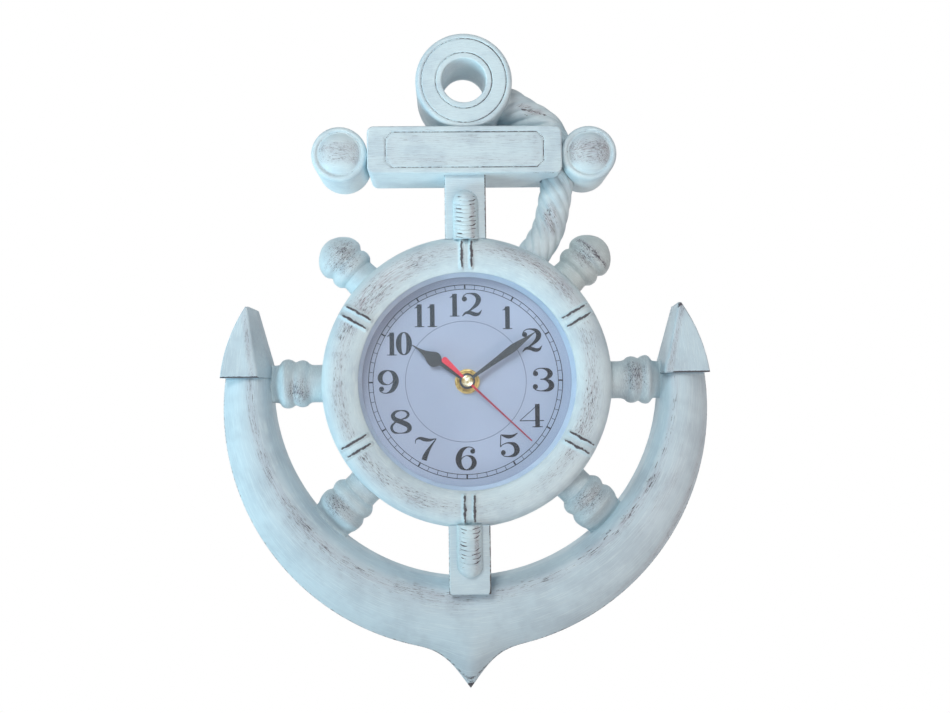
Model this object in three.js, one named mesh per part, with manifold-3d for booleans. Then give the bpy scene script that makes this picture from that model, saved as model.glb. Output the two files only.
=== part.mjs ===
// Anchor-shaped wall clock with a ship's-wheel rim and a quartz movement.
// Millimetres. The wheel's axis is the y axis, the wall is the plane y = 0, the front is -y, up is +z.
import * as THREE from 'three';
import { mergeVertices } from 'three/addons/utils/BufferGeometryUtils.js';
import { ParametricGeometry } from 'three/addons/geometries/ParametricGeometry.js';
import Module from 'manifold-3d';

const wasm = await Module();
wasm.setup();

// Driving sizes
const gap = 0.3; // between a piece and the neighbour that it rests on
const wheel = { radius: 78.5, crest: 34, side: 25, lipFront: 31.5, band: 20.1, crestIn: 9.5, ledge: 4 };
const rib = { inset: 18.5, outset: 1.5, width: 1.7, spacing: 5.2, height: 0.9 };
const shank = { half: 11.1, front: 31, lap: 5, length: 32.8 };
const beam = { half: 52.4, tall: 25.8, depth: 35, corner: 4 };
const panel = { inset: 9.5, rim: 2.9, chamfer: 3.8, line: 0.9, deep: 0.6 };
const ring = { outer: 26.2, bore: 12, depth: 34, sunk: 1, grooves: [0.88, 0.58] };
const ball = { radius: 15.1, drop: 1, front: 31, inset: 11.5, dome: 33.5 };
const spindle = { radius: 6.3, upper: 0.74, lower: 0.86 };
const arms = { reach: 29.5, width: 25.6, drop: 13, end: 3.3, edge: 13, crest: 23,
  crestShare: 0.28, point: 22.4 };
const flare = 12.6; // half of the crown point's spread, degrees
const fluke = { overhang: 1, apexShare: 0.427, tall: 38, bulge: 4.5, front: 27 };
const handle = { axis: 14, neck: 10.4, bead: 13, tenon: 4, sunk: 8.5, reach: 32.5 };
const rope = { radius: 9.2, lay: 62, strands: 4, axis: 13.5, reach: 52.2 };
const dowelSize = { radius: 2, thin: 1.8, short: 11, long: 18 };
const dial = { face: 20, board: 1.2, hole: 4.3, clamp: 3, margin: 8 };
const lens = { back: 28.2, front: 30.2 };
const movement = { half: 28, front: 18.3, back: 2.3, wall: 1.5, division: -11.2 };
const plate = { front: 11.9, back: 11.1, half: 26.1, low: -9.8, high: 15.5 };
const battery = { radius: 7.25, half: 25.2, nub: 1.2, height: -19.4, axis: 9.5 };
const hanger = { half: 22, tall: 15, thick: 1.2, screw: 17, slot: 2, eye: 3.5, rise: 3.8 };
const shown = { hour: 304, minute: 54.8, second: 133.5 }; // hands, degrees clockwise from the top
const handleAngles = { ne: 45, e: 90, se: 135, sw: 225, w: 270, nw: 315 }; // clockwise from the top

// Places that follow from them
const lip = wheel.radius - wheel.band;
const cavity = lip + wheel.ledge;
const glassRadius = cavity - gap;
const dialBack = dial.face - dial.board;
const beamFoot = wheel.radius + shank.length;
const beamTop = beamFoot + beam.tall;
const beamHeight = beamFoot + beam.tall / 2;
const nailHeight = beamHeight + hanger.rise;
const ringHeight = beamTop + ring.outer - ring.sunk;
const ballPlace = (side) => [side * (beam.half + ball.radius + gap), beamHeight - ball.drop];
const armsInner = wheel.radius + arms.reach;
const armsOuter = armsInner + arms.width;
const flukeTip = armsOuter - fluke.overhang;
const flukeApex = THREE.MathUtils.lerp(armsInner, flukeTip, fluke.apexShare);
const handleTip = wheel.radius + handle.reach;
const handleSeat = wheel.radius - handle.sunk;
const flukeMiddle = flukeApex + 1;
const spindleTop = wheel.radius + spindle.upper * shank.length;
const spindleFoot = -wheel.radius - spindle.lower * arms.reach;
const { radius, thin, short, long } = dowelSize;
const dowels = {
  ring: { place: [0, beamTop], depth: ring.depth / 2, radius, length: short, upright: true },
  ball_left: { place: [-beam.half, ballPlace(-1)[1]], depth: ball.front - 4, radius: thin, length: short },
  ball_right: { place: [beam.half, ballPlace(1)[1]], depth: ball.front - 4, radius: thin, length: short },
  fluke_left: { place: [-flukeMiddle, arms.end], depth: arms.edge - 1, radius, length: long, upright: true },
  fluke_right: { place: [flukeMiddle, arms.end], depth: arms.edge - 1, radius, length: long, upright: true },
};

// Gear train: modules, teeth and places, angles in degrees counter-clockwise from +x seen from the front
const timeGear = { module: 0.4, cannon: 12, motion: 36, angle: 180 };
const hourGear = { pinion: 12, wheel: 48 };
const setGear = { teeth: 12, angle: 170 };
const trainGear = { module: 0.3, pinion: 8, second: 48, third: 64, inter: 40, centre: 60 };
const at = {
  motion: polar(timeGear.module * (timeGear.cannon + timeGear.motion) / 2, timeGear.angle),
  third: polar(trainGear.module * (trainGear.pinion + trainGear.third) / 2, 30),
  inter: polar(trainGear.module * (trainGear.pinion + trainGear.second) / 2, 135),
};
at.knob = polar(timeGear.module * (setGear.teeth + timeGear.motion) / 2, setGear.angle, at.motion);
at.rotor = polar(trainGear.module * (trainGear.pinion + trainGear.inter) / 2, 135, at.inter);
const coil = { x: -6, z: 21.3, axis: 9, half: 13, flange: 4.3, wire: 3.8, core: 1.5 };

// Finishes
const finish = (color, roughness, metalness) => ({ color, roughness, metalness });
const whitewash = finish('#c6d9e2', 0.6, 0);
const paper = finish('#c3cde6', 0.8, 0);
const glass = finish('#e8f2f6', 0.05, 0);
const brass = finish('#c39a4a', 0.35, 1);
const steel = finish('#b4b8bc', 0.4, 1);
const copper = finish('#b5713a', 0.4, 1);
const blackPaint = finish('#15161c', 0.5, 0);
const redPaint = finish('#c4273a', 0.4, 0);
const blackPlastic = finish('#1c1d20', 0.6, 0);
const whitePlastic = finish('#e4e4df', 0.5, 0);
const rubber = finish('#222222', 0.9, 0);
const greenBoard = finish('#2f6b45', 0.6, 0);
const batteryFoil = finish('#3c5a78', 0.35, 0);
const dowelWood = finish('#c7a77a', 0.8, 0);

function polar(radius, degrees, from = [0, 0]) {
  const angle = THREE.MathUtils.degToRad(degrees);
  return [from[0] + radius * Math.cos(angle), from[1] + radius * Math.sin(angle)];
}

// Booleans on closed geometries
function toSolid(geometry) {
  const bare = geometry.clone();
  bare.deleteAttribute('normal');
  bare.deleteAttribute('uv');
  const welded = mergeVertices(bare, 1e-4);
  const vertProperties = new Float32Array(welded.attributes.position.array);
  const triVerts = new Uint32Array(welded.index.array);
  return new wasm.Manifold(new wasm.Mesh({ numProp: 3, vertProperties, triVerts }));
}

function toGeometry(solid) {
  const { vertProperties, triVerts } = solid.getMesh();
  const geometry = new THREE.BufferGeometry();
  geometry.setAttribute('position', new THREE.BufferAttribute(vertProperties, 3));
  geometry.setIndex(new THREE.BufferAttribute(triVerts, 1));
  geometry.computeVertexNormals();
  return geometry;
}

const join = (...parts) => toGeometry(wasm.Manifold.union(parts.map(toSolid)));
const cut = (part, ...tools) => toGeometry(wasm.Manifold.difference([part, ...tools].map(toSolid)));
const common = (a, b) => toGeometry(toSolid(a).intersect(toSolid(b)));

// Turns the faces of a closed geometry outwards
function outward(geometry) {
  const bare = geometry.toNonIndexed().attributes.position;
  const corners = [new THREE.Vector3(), new THREE.Vector3(), new THREE.Vector3()];
  let volume = 0;
  for (let i = 0; i < bare.count; i += 3) {
    corners.forEach((corner, k) => corner.fromBufferAttribute(bare, i + k));
    volume += corners[0].dot(corners[1].cross(corners[2]));
  }
  if (volume < 0) geometry.index.array.reverse();
  return geometry;
}

// Solids in the clock's frame; depths are distances in front of the wall
function slab(shape, back, front, bevel = 0, curveSegments = 12) {
  const settings = { depth: front - back - bevel, bevelEnabled: bevel > 0, curveSegments };
  Object.assign(settings, { bevelSize: bevel, bevelThickness: bevel, bevelOffset: -bevel, bevelSegments: 2 });
  const geometry = new THREE.ExtrudeGeometry(shape, settings).rotateX(Math.PI / 2).translate(0, -back, 0);
  return bevel > 0 ? cut(geometry, box(-300, 300, back - 20, back, -300, 300)) : geometry;
}

function box(left, right, back, front, low, high) {
  const middle = [(left + right) / 2, -(back + front) / 2, (low + high) / 2];
  return new THREE.BoxGeometry(right - left, front - back, high - low).translate(...middle);
}

// Turned about the y axis through (x, z); profile points are [radius, depth]
function turned(profile, segments = 32, [x, z] = [0, 0]) {
  const points = profile.map(([radius, depth]) => new THREE.Vector2(Math.max(radius, 0), -depth));
  return outward(new THREE.LatheGeometry(points, segments)).translate(x, 0, z);
}

const rod = (radius, back, front, place, segments = 12) =>
  turned([[0, back], [radius, back], [radius, front], [0, front]], segments, place);

const tube = (outer, inner, back, front, place, segments = 24) =>
  turned([[inner, back], [outer, back], [outer, front], [inner, front], [inner, back]], segments, place);

// Turned about the upward radius of the wheel at the handles' depth; points are [radius, distance]
function turnedUp(profile, depth, segments = 18) {
  const points = profile.map(([radius, distance]) => new THREE.Vector2(radius, distance));
  return outward(new THREE.LatheGeometry(points, segments)).rotateX(Math.PI / 2).translate(0, -depth, 0);
}

const turnClockwise = (geometry, degrees) => geometry.rotateY(THREE.MathUtils.degToRad(degrees));

const outline = (points) => new THREE.Shape(points.map(([x, z]) => new THREE.Vector2(x, z)));

const rectangle = (halfWidth, low, high) =>
  outline([[-halfWidth, low], [halfWidth, low], [halfWidth, high], [-halfWidth, high]]);

function roundHole(shape, radius, [x, z] = [0, 0]) {
  shape.holes.push(new THREE.Path().absarc(x, z, radius, 0, Math.PI * 2, true));
  return shape;
}

// A closed surface through sections: section(turn, along) gives a point, the two ends close on their middles
function loft(section, slices, stations) {
  const middle = (along) => {
    const sum = new THREE.Vector3();
    for (let i = 0; i < slices; i += 1) sum.add(section(i / slices, along));
    return sum.divideScalar(slices);
  };
  const ends = [middle(0), middle(1)];
  const surface = (u, v, target) => {
    const station = Math.round(v * (stations + 2)) - 1;
    if (station < 0 || station > stations) target.copy(ends[station < 0 ? 0 : 1]);
    else target.copy(section(u % 1, station / stations));
  };
  return outward(new ParametricGeometry(surface, slices, stations + 2));
}

// Castings
const rimCylinder = () => rod(wheel.radius + gap, -5, 60, [0, 0], 72);

function rimCrown() {
  const crown = new THREE.Path().moveTo(wheel.radius, wheel.side);
  crown.quadraticCurveTo(wheel.radius - 1, wheel.crest, wheel.radius - wheel.crestIn, wheel.crest);
  crown.quadraticCurveTo(lip + 3.5, wheel.crest, lip, wheel.lipFront);
  return crown.getPoints(4).map(({ x, y }) => [x, y]);
}

function wheelRim() {
  const profile = [[cavity, 0], [wheel.radius, 0], ...rimCrown()];
  profile.push([lip, lens.front], [cavity, lens.front], [cavity, 0]);
  const body = turned(profile, 72);
  const sockets = Object.values(handleAngles).map((angle) =>
    turnClockwise(turnedUp([[0, handleSeat - gap], [handle.tenon + gap, handleSeat - gap],
      [handle.tenon + gap, handleTip], [0, handleTip]], handle.axis), angle));
  return cut(join(body, ...wheelRibs()), ...sockets);
}

function wheelRibs() {
  const along = rimCrown().filter(([reach]) =>
    reach > wheel.radius - rib.inset && reach < wheel.radius - rib.outset);
  const root = [[along.at(-1)[0], lens.front + 1], [along[0][0], lens.front - 1]];
  const shape = outline([...along.map(([reach, depth]) => [reach, depth + rib.height]), ...root]);
  const ribs = [];
  for (let pair = 0; pair < 6; pair += 1) {
    for (const offset of [-rib.spacing / 2, rib.spacing / 2]) {
      const settings = { depth: rib.width, bevelEnabled: false };
      const fin = new THREE.ExtrudeGeometry(shape, settings).translate(0, 0, -rib.width / 2);
      fin.rotateX(Math.PI).rotateY(-Math.PI / 2).translate(offset, 0, 0);
      ribs.push(turnClockwise(fin, pair * 60));
    }
  }
  return ribs;
}

function ringCasting() {
  const { outer, bore, depth, grooves } = ring;
  const profile = [[bore, 0], [outer, 0], [outer, depth - 2], [outer - 2, depth]];
  for (const share of grooves) {
    const middle = share * outer;
    profile.push([middle + 0.5, depth], [middle, depth - 0.6], [middle - 0.5, depth]);
  }
  profile.push([bore + 1.5, depth], [bore, depth - 1.5], [bore, 0]);
  const below = box(-2 * ring.outer, 2 * ring.outer, -5, 2 * ring.depth, beamFoot, beamTop);
  return cut(turned(profile, 36, [0, ringHeight]), below, dowel('ring', gap));
}

function beamCasting() {
  const [low, high, c] = [beamFoot, beamTop, beam.corner];
  const front = new THREE.Shape().moveTo(-beam.half + c, low).lineTo(beam.half - c, low);
  front.quadraticCurveTo(beam.half, low, beam.half, low + c).lineTo(beam.half, high - c);
  front.quadraticCurveTo(beam.half, high, beam.half - c, high).lineTo(-beam.half + c, high);
  front.quadraticCurveTo(-beam.half, high, -beam.half, high - c).lineTo(-beam.half, low + c);
  front.quadraticCurveTo(-beam.half, low, -beam.half + c, low);
  const body = slab(front, 0, beam.depth, 0.8, 4);
  const [wide, tall] = [hanger.half + gap, hanger.tall / 2 + gap];
  const recess = box(-wide, wide, -5, hanger.thick, beamHeight - tall, beamHeight + tall);
  const nailRoom = box(-7, 7, 0, 8, beamHeight - 6.5, nailHeight + 2.7);
  const pilots = [-1, 1].map((side) => rod(1.5, 0, 10.5, [side * hanger.screw, beamHeight]));
  const holes = ['ring', 'ball_left', 'ball_right'].map((name) => dowel(name, gap));
  return cut(body, panelLine(), recess, nailRoom, ...pilots, ...holes, ropeRoom());
}

function panelLine() {
  const octagon = (inset) => {
    const x = beam.half - panel.inset - inset;
    const z = beam.tall / 2 - panel.rim - inset;
    const c = panel.chamfer - inset * 0.6;
    const right = [[x - c, -z], [x, c - z], [x, z - c], [x - c, z]];
    const left = right.map(([px, pz]) => [-px, pz]).reverse();
    return outline([...right, ...left].map(([px, pz]) => [px, pz + beamHeight]));
  };
  const line = octagon(0);
  line.holes.push(new THREE.Path(octagon(panel.line).getPoints().reverse()));
  return slab(line, beam.depth - panel.deep, beam.depth + 2);
}

function ballCasting(side) {
  const { radius, front, inset, dome } = ball;
  const face = new THREE.Path().moveTo(radius, front - 2.5);
  face.quadraticCurveTo(radius, front, radius - 2.2, front);
  face.lineTo(inset + 0.6, front - 1.2);
  face.quadraticCurveTo(inset - 1, dome, 0, dome);
  const profile = [[0, 0], [radius, 0], ...face.getPoints(4).map(({ x, y }) => [x, y])];
  const body = turned(profile, 30, ballPlace(side));
  return side < 0 ? cut(body, dowel('ball_left', gap)) : cut(body, dowel('ball_right', gap), ropeRoom());
}

function shankPlate(low, high) {
  const body = slab(rectangle(shank.half, low, high), 0, shank.front, 0.8);
  return cut(body, rimCylinder());
}

const lowerShank = () => cut(shankPlate(-armsInner - shank.lap, 4 - wheel.radius), armsBody(gap, -5));

function halfSpindle(low, high, roundTop) {
  const length = high - low;
  const shoulder = length - spindle.radius;
  const dome = new THREE.Path().moveTo(spindle.radius, shoulder);
  dome.quadraticCurveTo(spindle.radius, length, 0, length);
  const profile = [new THREE.Vector2(0, 0), new THREE.Vector2(spindle.radius, 0), ...dome.getPoints(5)];
  const body = outward(new THREE.LatheGeometry(profile, 24)).rotateX(Math.PI / 2);
  if (!roundTop) body.rotateX(Math.PI);
  body.translate(0, -shank.front, roundTop ? low : high);
  return cut(body, box(-20, 20, -20, shank.front, low - 5, high + 5), rimCylinder());
}

// Outer edge of the crescent, from the wheel's axis, at an angle clockwise from the top
function armsEdge(degrees) {
  const angle = THREE.MathUtils.degToRad(degrees);
  const toward = -arms.drop * Math.cos(angle);
  const circle = toward + Math.sqrt(armsOuter ** 2 - arms.drop ** 2 + toward ** 2);
  const nearTip = Math.max(0, 1 - Math.abs(degrees - 180) / flare);
  return circle + arms.point * nearTip ** 2.9;
}

// Depth of the arms' front, steep from the inner edge to the crest and gentle from there to the outer edge
function armsDepth(across) {
  const inside = Math.max(0, 1 - across / arms.crestShare);
  const outside = Math.max(0, (across - arms.crestShare) / (1 - arms.crestShare));
  return arms.edge + (arms.crest - arms.edge) * (1 - inside ** 2 - outside ** 2.6);
}

function armsBody(grow = 0, back = 0) {
  const steps = 7;
  const profile = [];
  for (let i = 0; i <= steps; i += 1) profile.push([i / steps, armsDepth(i / steps) + grow]);
  profile.push([1, back], [0, back]);
  const section = (turn, along) => {
    const [across, depth] = profile[Math.round(turn * profile.length) % profile.length];
    const fromTip = 2 * along - 1;
    const degrees = 180 + 96 * Math.sign(fromTip) * Math.abs(fromTip) ** 1.5;
    const reach = THREE.MathUtils.lerp(armsInner - grow, armsEdge(degrees) + grow, across);
    const angle = THREE.MathUtils.degToRad(degrees);
    return new THREE.Vector3(reach * Math.sin(angle), -depth, reach * Math.cos(angle));
  };
  return loft(section, profile.length, 46);
}

const armsCasting = () =>
  cut(armsBody(), box(-200, 200, -10, 60, arms.end, 60), dowel('fluke_left', gap), dowel('fluke_right', gap));

function flukeCasting(side) {
  const { tall, bulge, front } = fluke;
  const [inner, tip, apex] = [armsInner + 0.5, flukeTip, flukeApex];
  const [base, top] = [arms.end + gap, arms.end + gap + tall];
  const blade = new THREE.Shape().moveTo(side * inner, base).lineTo(side * tip, base);
  blade.quadraticCurveTo(side * ((tip + apex) / 2 + bulge), (base + top) / 2 + 1.3, side * apex, top);
  blade.quadraticCurveTo(side * ((inner + apex) / 2 - 1.2), (base + top) / 2, side * inner, base);
  return cut(slab(blade, 0, front, 3, 6), dowel(side < 0 ? 'fluke_left' : 'fluke_right', gap));
}

// A wooden dowel between two castings, or with a clearance the hole for it
function dowel(name, clearance = 0) {
  const { place: [x, z], depth, radius, length, upright } = dowels[name];
  const peg = new THREE.CylinderGeometry(radius + clearance, radius + clearance, length + 2 * clearance, 16);
  return (upright ? peg.rotateX(Math.PI / 2) : peg.rotateZ(Math.PI / 2)).translate(x, -depth, z);
}

// Handles, made pointing up from the wheel's axis
function handleOnRim(side, reach) {
  const body = turnedUp(side.getPoints(4).map(({ x, y }) => [x, y]), handle.axis);
  const outside = common(body, rod(reach, -10, 60, [0, 0], 72));
  const [low, high] = [handleSeat, wheel.radius + 3.5];
  const tenon = turnedUp([[0, low], [handle.tenon, low], [handle.tenon, high], [0, high]], handle.axis, 16);
  return join(cut(outside, rimCylinder()), tenon);
}

function knobHandle() {
  const { neck, bead } = handle;
  const [seat, tip] = [handleSeat, handleTip];
  const side = new THREE.Path().moveTo(0, seat).lineTo(neck, seat).lineTo(neck - 0.6, tip - 23);
  side.quadraticCurveTo(neck + 3, tip - 20, neck + 0.1, tip - 16.8);
  side.quadraticCurveTo(bead + 0.6, tip - 15.5, bead, tip - 9);
  side.quadraticCurveTo(bead - 0.8, tip, 0, tip);
  return handleOnRim(side, tip + 20);
}

function linkHandle() {
  const { neck, bead } = handle;
  const seat = handleSeat;
  const [inner, outer] = [wheel.radius + 10.9, armsInner - 10];
  const side = new THREE.Path().moveTo(0, seat).lineTo(neck, seat).lineTo(neck, inner - 4.2);
  side.quadraticCurveTo(2 * bead - neck, inner, neck + 1.2, (inner + outer) / 2);
  side.quadraticCurveTo(2 * bead - neck, outer, neck + 0.4, outer + 4.2);
  side.lineTo(neck + 0.4, armsInner + 5).lineTo(0, armsInner + 5);
  return handleOnRim(side, armsInner - gap);
}

// Rope: a moulded cable-laid rope from the ring, behind the beam, to the rim
// Places are shares of its reach, and of the way up from the rim to the ring
const ropeRoute = new THREE.CatmullRomCurve3([[0.345, 0.972], [0.523, 0.915], [0.665, 0.863], [0.789, 0.81],
  [0.881, 0.762], [0.964, 0.662], [1, 0.495], [0.975, 0.304], [0.9, 0.09], [0.805, -0.03], [0.69, -0.125]]
  .map(([across, up]) => new THREE.Vector3(rope.reach * across, -rope.axis,
    THREE.MathUtils.lerp(wheel.radius, ringHeight, up))));

function ropeSweep(radiusAt, slices, stations) {
  const length = ropeRoute.getLength();
  const section = (turn, along) => {
    const tangent = ropeRoute.getTangentAt(along);
    const across = new THREE.Vector3(tangent.z, 0, -tangent.x);
    const angle = turn * Math.PI * 2;
    const radius = radiusAt(angle, along * length);
    const point = ropeRoute.getPointAt(along).addScaledVector(across, radius * Math.cos(angle));
    return point.add(new THREE.Vector3(0, -radius * Math.sin(angle), 0));
  };
  return loft(section, slices, stations);
}

function ropeCasting() {
  const lobes = (angle, run) => {
    const phase = rope.strands * (angle / 2 - (Math.PI * run) / rope.lay);
    return rope.radius - 1.1 * (1 - Math.abs(Math.cos(phase)));
  };
  const besideRing = rod(ring.outer + gap, -5, 60, [0, ringHeight], 40);
  return cut(ropeSweep(lobes, 16, 34), besideRing, rimCylinder());
}

function ropeRoom() {
  const room = ropeSweep(() => rope.radius + gap, 12, 20);
  const half = rope.radius + gap;
  const behind = box(rope.reach - half - 1, rope.reach + half, -5, rope.axis, beamFoot - 10, beamTop + 5);
  return join(room, behind);
}

// Dial, lens and what clamps them in the rim
function dialPlate() {
  const disc = new THREE.Shape().absarc(0, 0, glassRadius, 0, Math.PI * 2);
  return slab(roundHole(disc, dial.hole), dial.face - dial.board, dial.face, 0, 24);
}

const retainingRing = () =>
  tube(glassRadius, glassRadius - dial.margin, dialBack - dial.clamp, dialBack, [0, 0], 48);

// Toothed outline with a tooth at the phase angle, counter-clockwise from +x
function gearOutline(teeth, module, phase, hole = 0) {
  const pitch = (module * teeth) / 2;
  const [foot, tip] = [pitch - module, pitch + 0.85 * module];
  const corners = [];
  for (let k = 0; k < teeth; k += 1) {
    for (const [share, reach] of [[-0.27, foot], [0, tip], [0.27, foot]]) {
      const angle = phase + ((k + share) * Math.PI * 2) / teeth;
      corners.push([reach * Math.cos(angle), reach * Math.sin(angle)]);
    }
  }
  const shape = outline(corners);
  return hole ? roundHole(shape, hole) : shape;
}

const gear = (teeth, module, phase, back, front, place = [0, 0], hole = 0) =>
  slab(gearOutline(teeth, module, phase, hole), back, front, 0, 7).translate(place[0], 0, place[1]);

// Phase that puts a gap of the driven gear at the driving gear's tooth, across a line at the angle in degrees
function meshPhase(teeth, phase, degrees, drivenTeeth) {
  const line = THREE.MathUtils.degToRad(degrees);
  const share = (teeth * (line - phase)) / (Math.PI * 2);
  return line + Math.PI - ((Math.PI * 2) / drivenTeeth) * (0.5 - share);
}

// Motion work under the dial
function hourWheel() {
  const module = 0.8 * timeGear.module;
  const phase = meshPhase(hourGear.pinion, 0, timeGear.angle + 180, hourGear.wheel);
  return join(gear(hourGear.wheel, module, phase, 15.7, 16.5, [0, 0], 2.5), tube(2.75, 2.2, 15.6, 24.2));
}

function motionWheel() {
  const phase = meshPhase(timeGear.cannon, 0, timeGear.angle, timeGear.motion);
  const wheelPart = gear(timeGear.motion, timeGear.module, phase, 14.2, 15, at.motion, 0.9);
  return join(wheelPart, gear(hourGear.pinion, 0.8 * timeGear.module, 0, 14.6, 16.4, at.motion, 0.9));
}

const cannonPinion = () =>
  join(gear(timeGear.cannon, timeGear.module, 0, 13.8, 15.2, [0, 0], 1.5), tube(1.95, 1.1, 12.2, 25.6));

function setKnob() {
  const motionPhase = meshPhase(timeGear.cannon, 0, timeGear.angle, timeGear.motion);
  const phase = meshPhase(timeGear.motion, motionPhase, setGear.angle, setGear.teeth);
  const milled = gearOutline(16, 0.55, 0);
  return join(gear(setGear.teeth, timeGear.module, phase, 14.2, 15, at.knob), rod(1, 1, 17.3, at.knob),
    slab(milled, 0.5, 1.9).translate(at.knob[0], 0, at.knob[1]));
}

// Going train behind the middle plate
const centreModule = (2 * Math.hypot(...at.third)) / (trainGear.pinion + trainGear.centre);
const { module: trainModule, pinion: leaves } = trainGear;

const centreWheel = () =>
  gear(trainGear.centre, centreModule, meshPhase(leaves, 0, 210, trainGear.centre), 12.6, 13.4, [0, 0], 2.2);

const secondWheel = () =>
  join(gear(trainGear.second, trainModule, meshPhase(leaves, 0, -45, trainGear.second), 8.3, 9),
    gear(leaves, trainModule, 0, 8.6, 10.8), rod(0.8, 3.6, 26.5));

const thirdWheel = () =>
  join(gear(trainGear.third, trainModule, meshPhase(leaves, 0, 30, trainGear.third), 9.9, 10.6, at.third),
    gear(leaves, centreModule, 0, 12.2, 13.7, at.third), rod(0.5, 3.6, 17.3, at.third));

const intermediateWheel = () =>
  join(gear(trainGear.inter, trainModule, meshPhase(leaves, 0, -45, trainGear.inter), 7.1, 7.7, at.inter),
    gear(leaves, trainModule, 0, 7.4, 9.2, at.inter), rod(0.45, 3.6, 11.6, at.inter));

const rotor = () =>
  join(gear(leaves, trainModule, 0, 6.5, 8.2, at.rotor), rod(2.7, 4.8, 6.6, at.rotor),
    rod(0.45, 3.6, 11.6, at.rotor));

function stator() {
  const { x, z, axis, half, core } = coil;
  const [left, right] = [x - half - 3.5, x + half + 3.5];
  const legs = outline([[left, 7.6], [right, 7.6],
    [right, z + 1.5], [right - 2.8, z + 1.5], [right - 2.8, 14.6],
    [left + 2.8, 14.6], [left + 2.8, z + 1.5], [left, z + 1.5]]);
  const sheet = slab(roundHole(legs, 3.1, at.rotor), 5.5, 6.3);
  const tabs = [left, right - 2.8].map((edge) => box(edge, edge + 2.8, 5.5, axis + core, z - 1.5, z + 1.5));
  return join(sheet, ...tabs, box(left + 1, right - 1, axis - core, axis + core, z - core, z + core));
}

function coilBobbin() {
  const { x, z, axis, half, flange, wire, core } = coil;
  const bore = core * Math.SQRT2 + gap;
  const side = [[bore, -half], [flange, -half], [flange, 0.9 - half], [wire, 0.9 - half], [wire, half - 0.9],
    [flange, half - 0.9], [flange, half], [bore, half], [bore, -half]];
  const points = side.map(([radius, along]) => new THREE.Vector2(radius, along));
  return outward(new THREE.LatheGeometry(points, 24)).rotateZ(Math.PI / 2).translate(x, -axis, z);
}

// Movement case
const postPlaces = [[-24.4, -7.8], [24.4, -7.8], [-24.4, 13.3], [24.4, 13.3]];
const arborPlaces = () => [[0, 0], at.third, at.inter, at.rotor];

function caseFront() {
  const { half, front, back, wall, division } = movement;
  const inside = half - wall;
  const shell = box(-half, half, back, front, -half, half);
  const gearRoom = box(-inside, inside, back - 5, front - wall, division + wall / 2, inside);
  const batteryRoom = box(-inside, inside, back - 5, front - 1.2, -half + 1, division - wall / 2);
  const open = cut(shell, gearRoom, batteryRoom, rod(4.25, 10, 30, [0, 0], 24), rod(0.8, 10, 17.6, at.third),
    rod(1.3, 10, 17.6, at.knob));
  const posts = postPlaces.flatMap((place) =>
    [rod(1.6, plate.front + 0.1, front - 1, place), rod(0.9, 4.3, front - 1, place)]);
  return join(open, ...posts, rod(0.6, 14.3, front - 1, at.motion));
}

function caseBack() {
  const { half, back, wall, division } = movement;
  const inside = half - wall - gap;
  const lid = box(-inside, inside, back, back + 1.7, division + wall / 2 + gap, inside);
  const studs = [[14, 19, 6.2], [24, 24, 6.2], [-20.5, 11, 5.2], [6, 11, 5.2]]
    .map(([x, z, top]) => rod(1.2, back + 1, top, [x, z], 12));
  const bearings = arborPlaces().map((place) => rod(place[0] ? 0.8 : 1.1, 3.3, 10, place));
  return cut(join(lid, ...studs), ...bearings, rod(1.3, 0, 10, at.knob));
}

function middlePlate() {
  const shape = rectangle(plate.half, plate.low, plate.high);
  for (const place of postPlaces) roundHole(shape, 1.2, place);
  roundHole(shape, 1.1);
  roundHole(shape, 0.8, at.third);
  roundHole(shape, 0.75, at.inter);
  roundHole(shape, 0.75, at.rotor);
  roundHole(shape, 1.3, at.knob);
  return slab(shape, plate.back, plate.front, 0, 6);
}

const circuitBoard = () => box(12, 26, 6.5, 7.3, 16.8, 26);
const quartzCrystal = () =>
  new THREE.CylinderGeometry(1, 1, 6, 16).rotateX(Math.PI / 2).translate(23, -8.35, 21.4);

function batteryCell() {
  const { radius, half, nub, height, axis } = battery;
  const side = [[0, -half], [radius - 0.8, -half], [radius, 0.8 - half], [radius, half - nub - 0.8],
    [radius - 0.8, half - nub], [2.7, half - nub], [2.7, half], [0, half]];
  const points = side.map(([r, along]) => new THREE.Vector2(r, along));
  return outward(new THREE.LatheGeometry(points, 28)).rotateZ(-Math.PI / 2).translate(0, -axis, height);
}

function batteryContact(side) {
  const wallFace = movement.half - movement.wall;
  const { axis, height, half } = battery;
  const leaf = box(wallFace - 0.6, wallFace - 0.1, axis - 5, axis + 5, height - 4.5, height + 4.5);
  const bump = new THREE.CylinderGeometry(1.2, 2, wallFace - 0.3 - half - gap, 16).rotateZ(Math.PI / 2);
  bump.translate((wallFace - 0.3 + half + gap) / 2, -axis, height);
  const contact = join(leaf, bump);
  return side > 0 ? contact : contact.rotateZ(Math.PI).translate(0, -2 * axis, 0);
}

// Fixing stack on the dial
function roundNut() {
  const slots = [0, 90].map((degrees) => turnClockwise(box(-9, 9, 21.9, 23, -0.6, 0.6), degrees));
  return cut(tube(6.25, 4.2, 20.7, 22.5, [0, 0], 30), ...slots);
}

// Hands, made pointing up; side points are [half width, distance from the arbor]
function handBlade(side, back, front, boss, hole) {
  const points = side.getPoints(6).map(({ x, y }) => [x, y]);
  const mirrored = points.map(([x, y]) => [-x, y]).reverse().filter(([x]) => Math.abs(x) > 1e-6);
  const blade = slab(outline([...points, ...mirrored]), back, front);
  return cut(join(blade, rod(boss, back, front, [0, 0], 28)), rod(hole, back - 2, front + 2));
}

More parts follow.
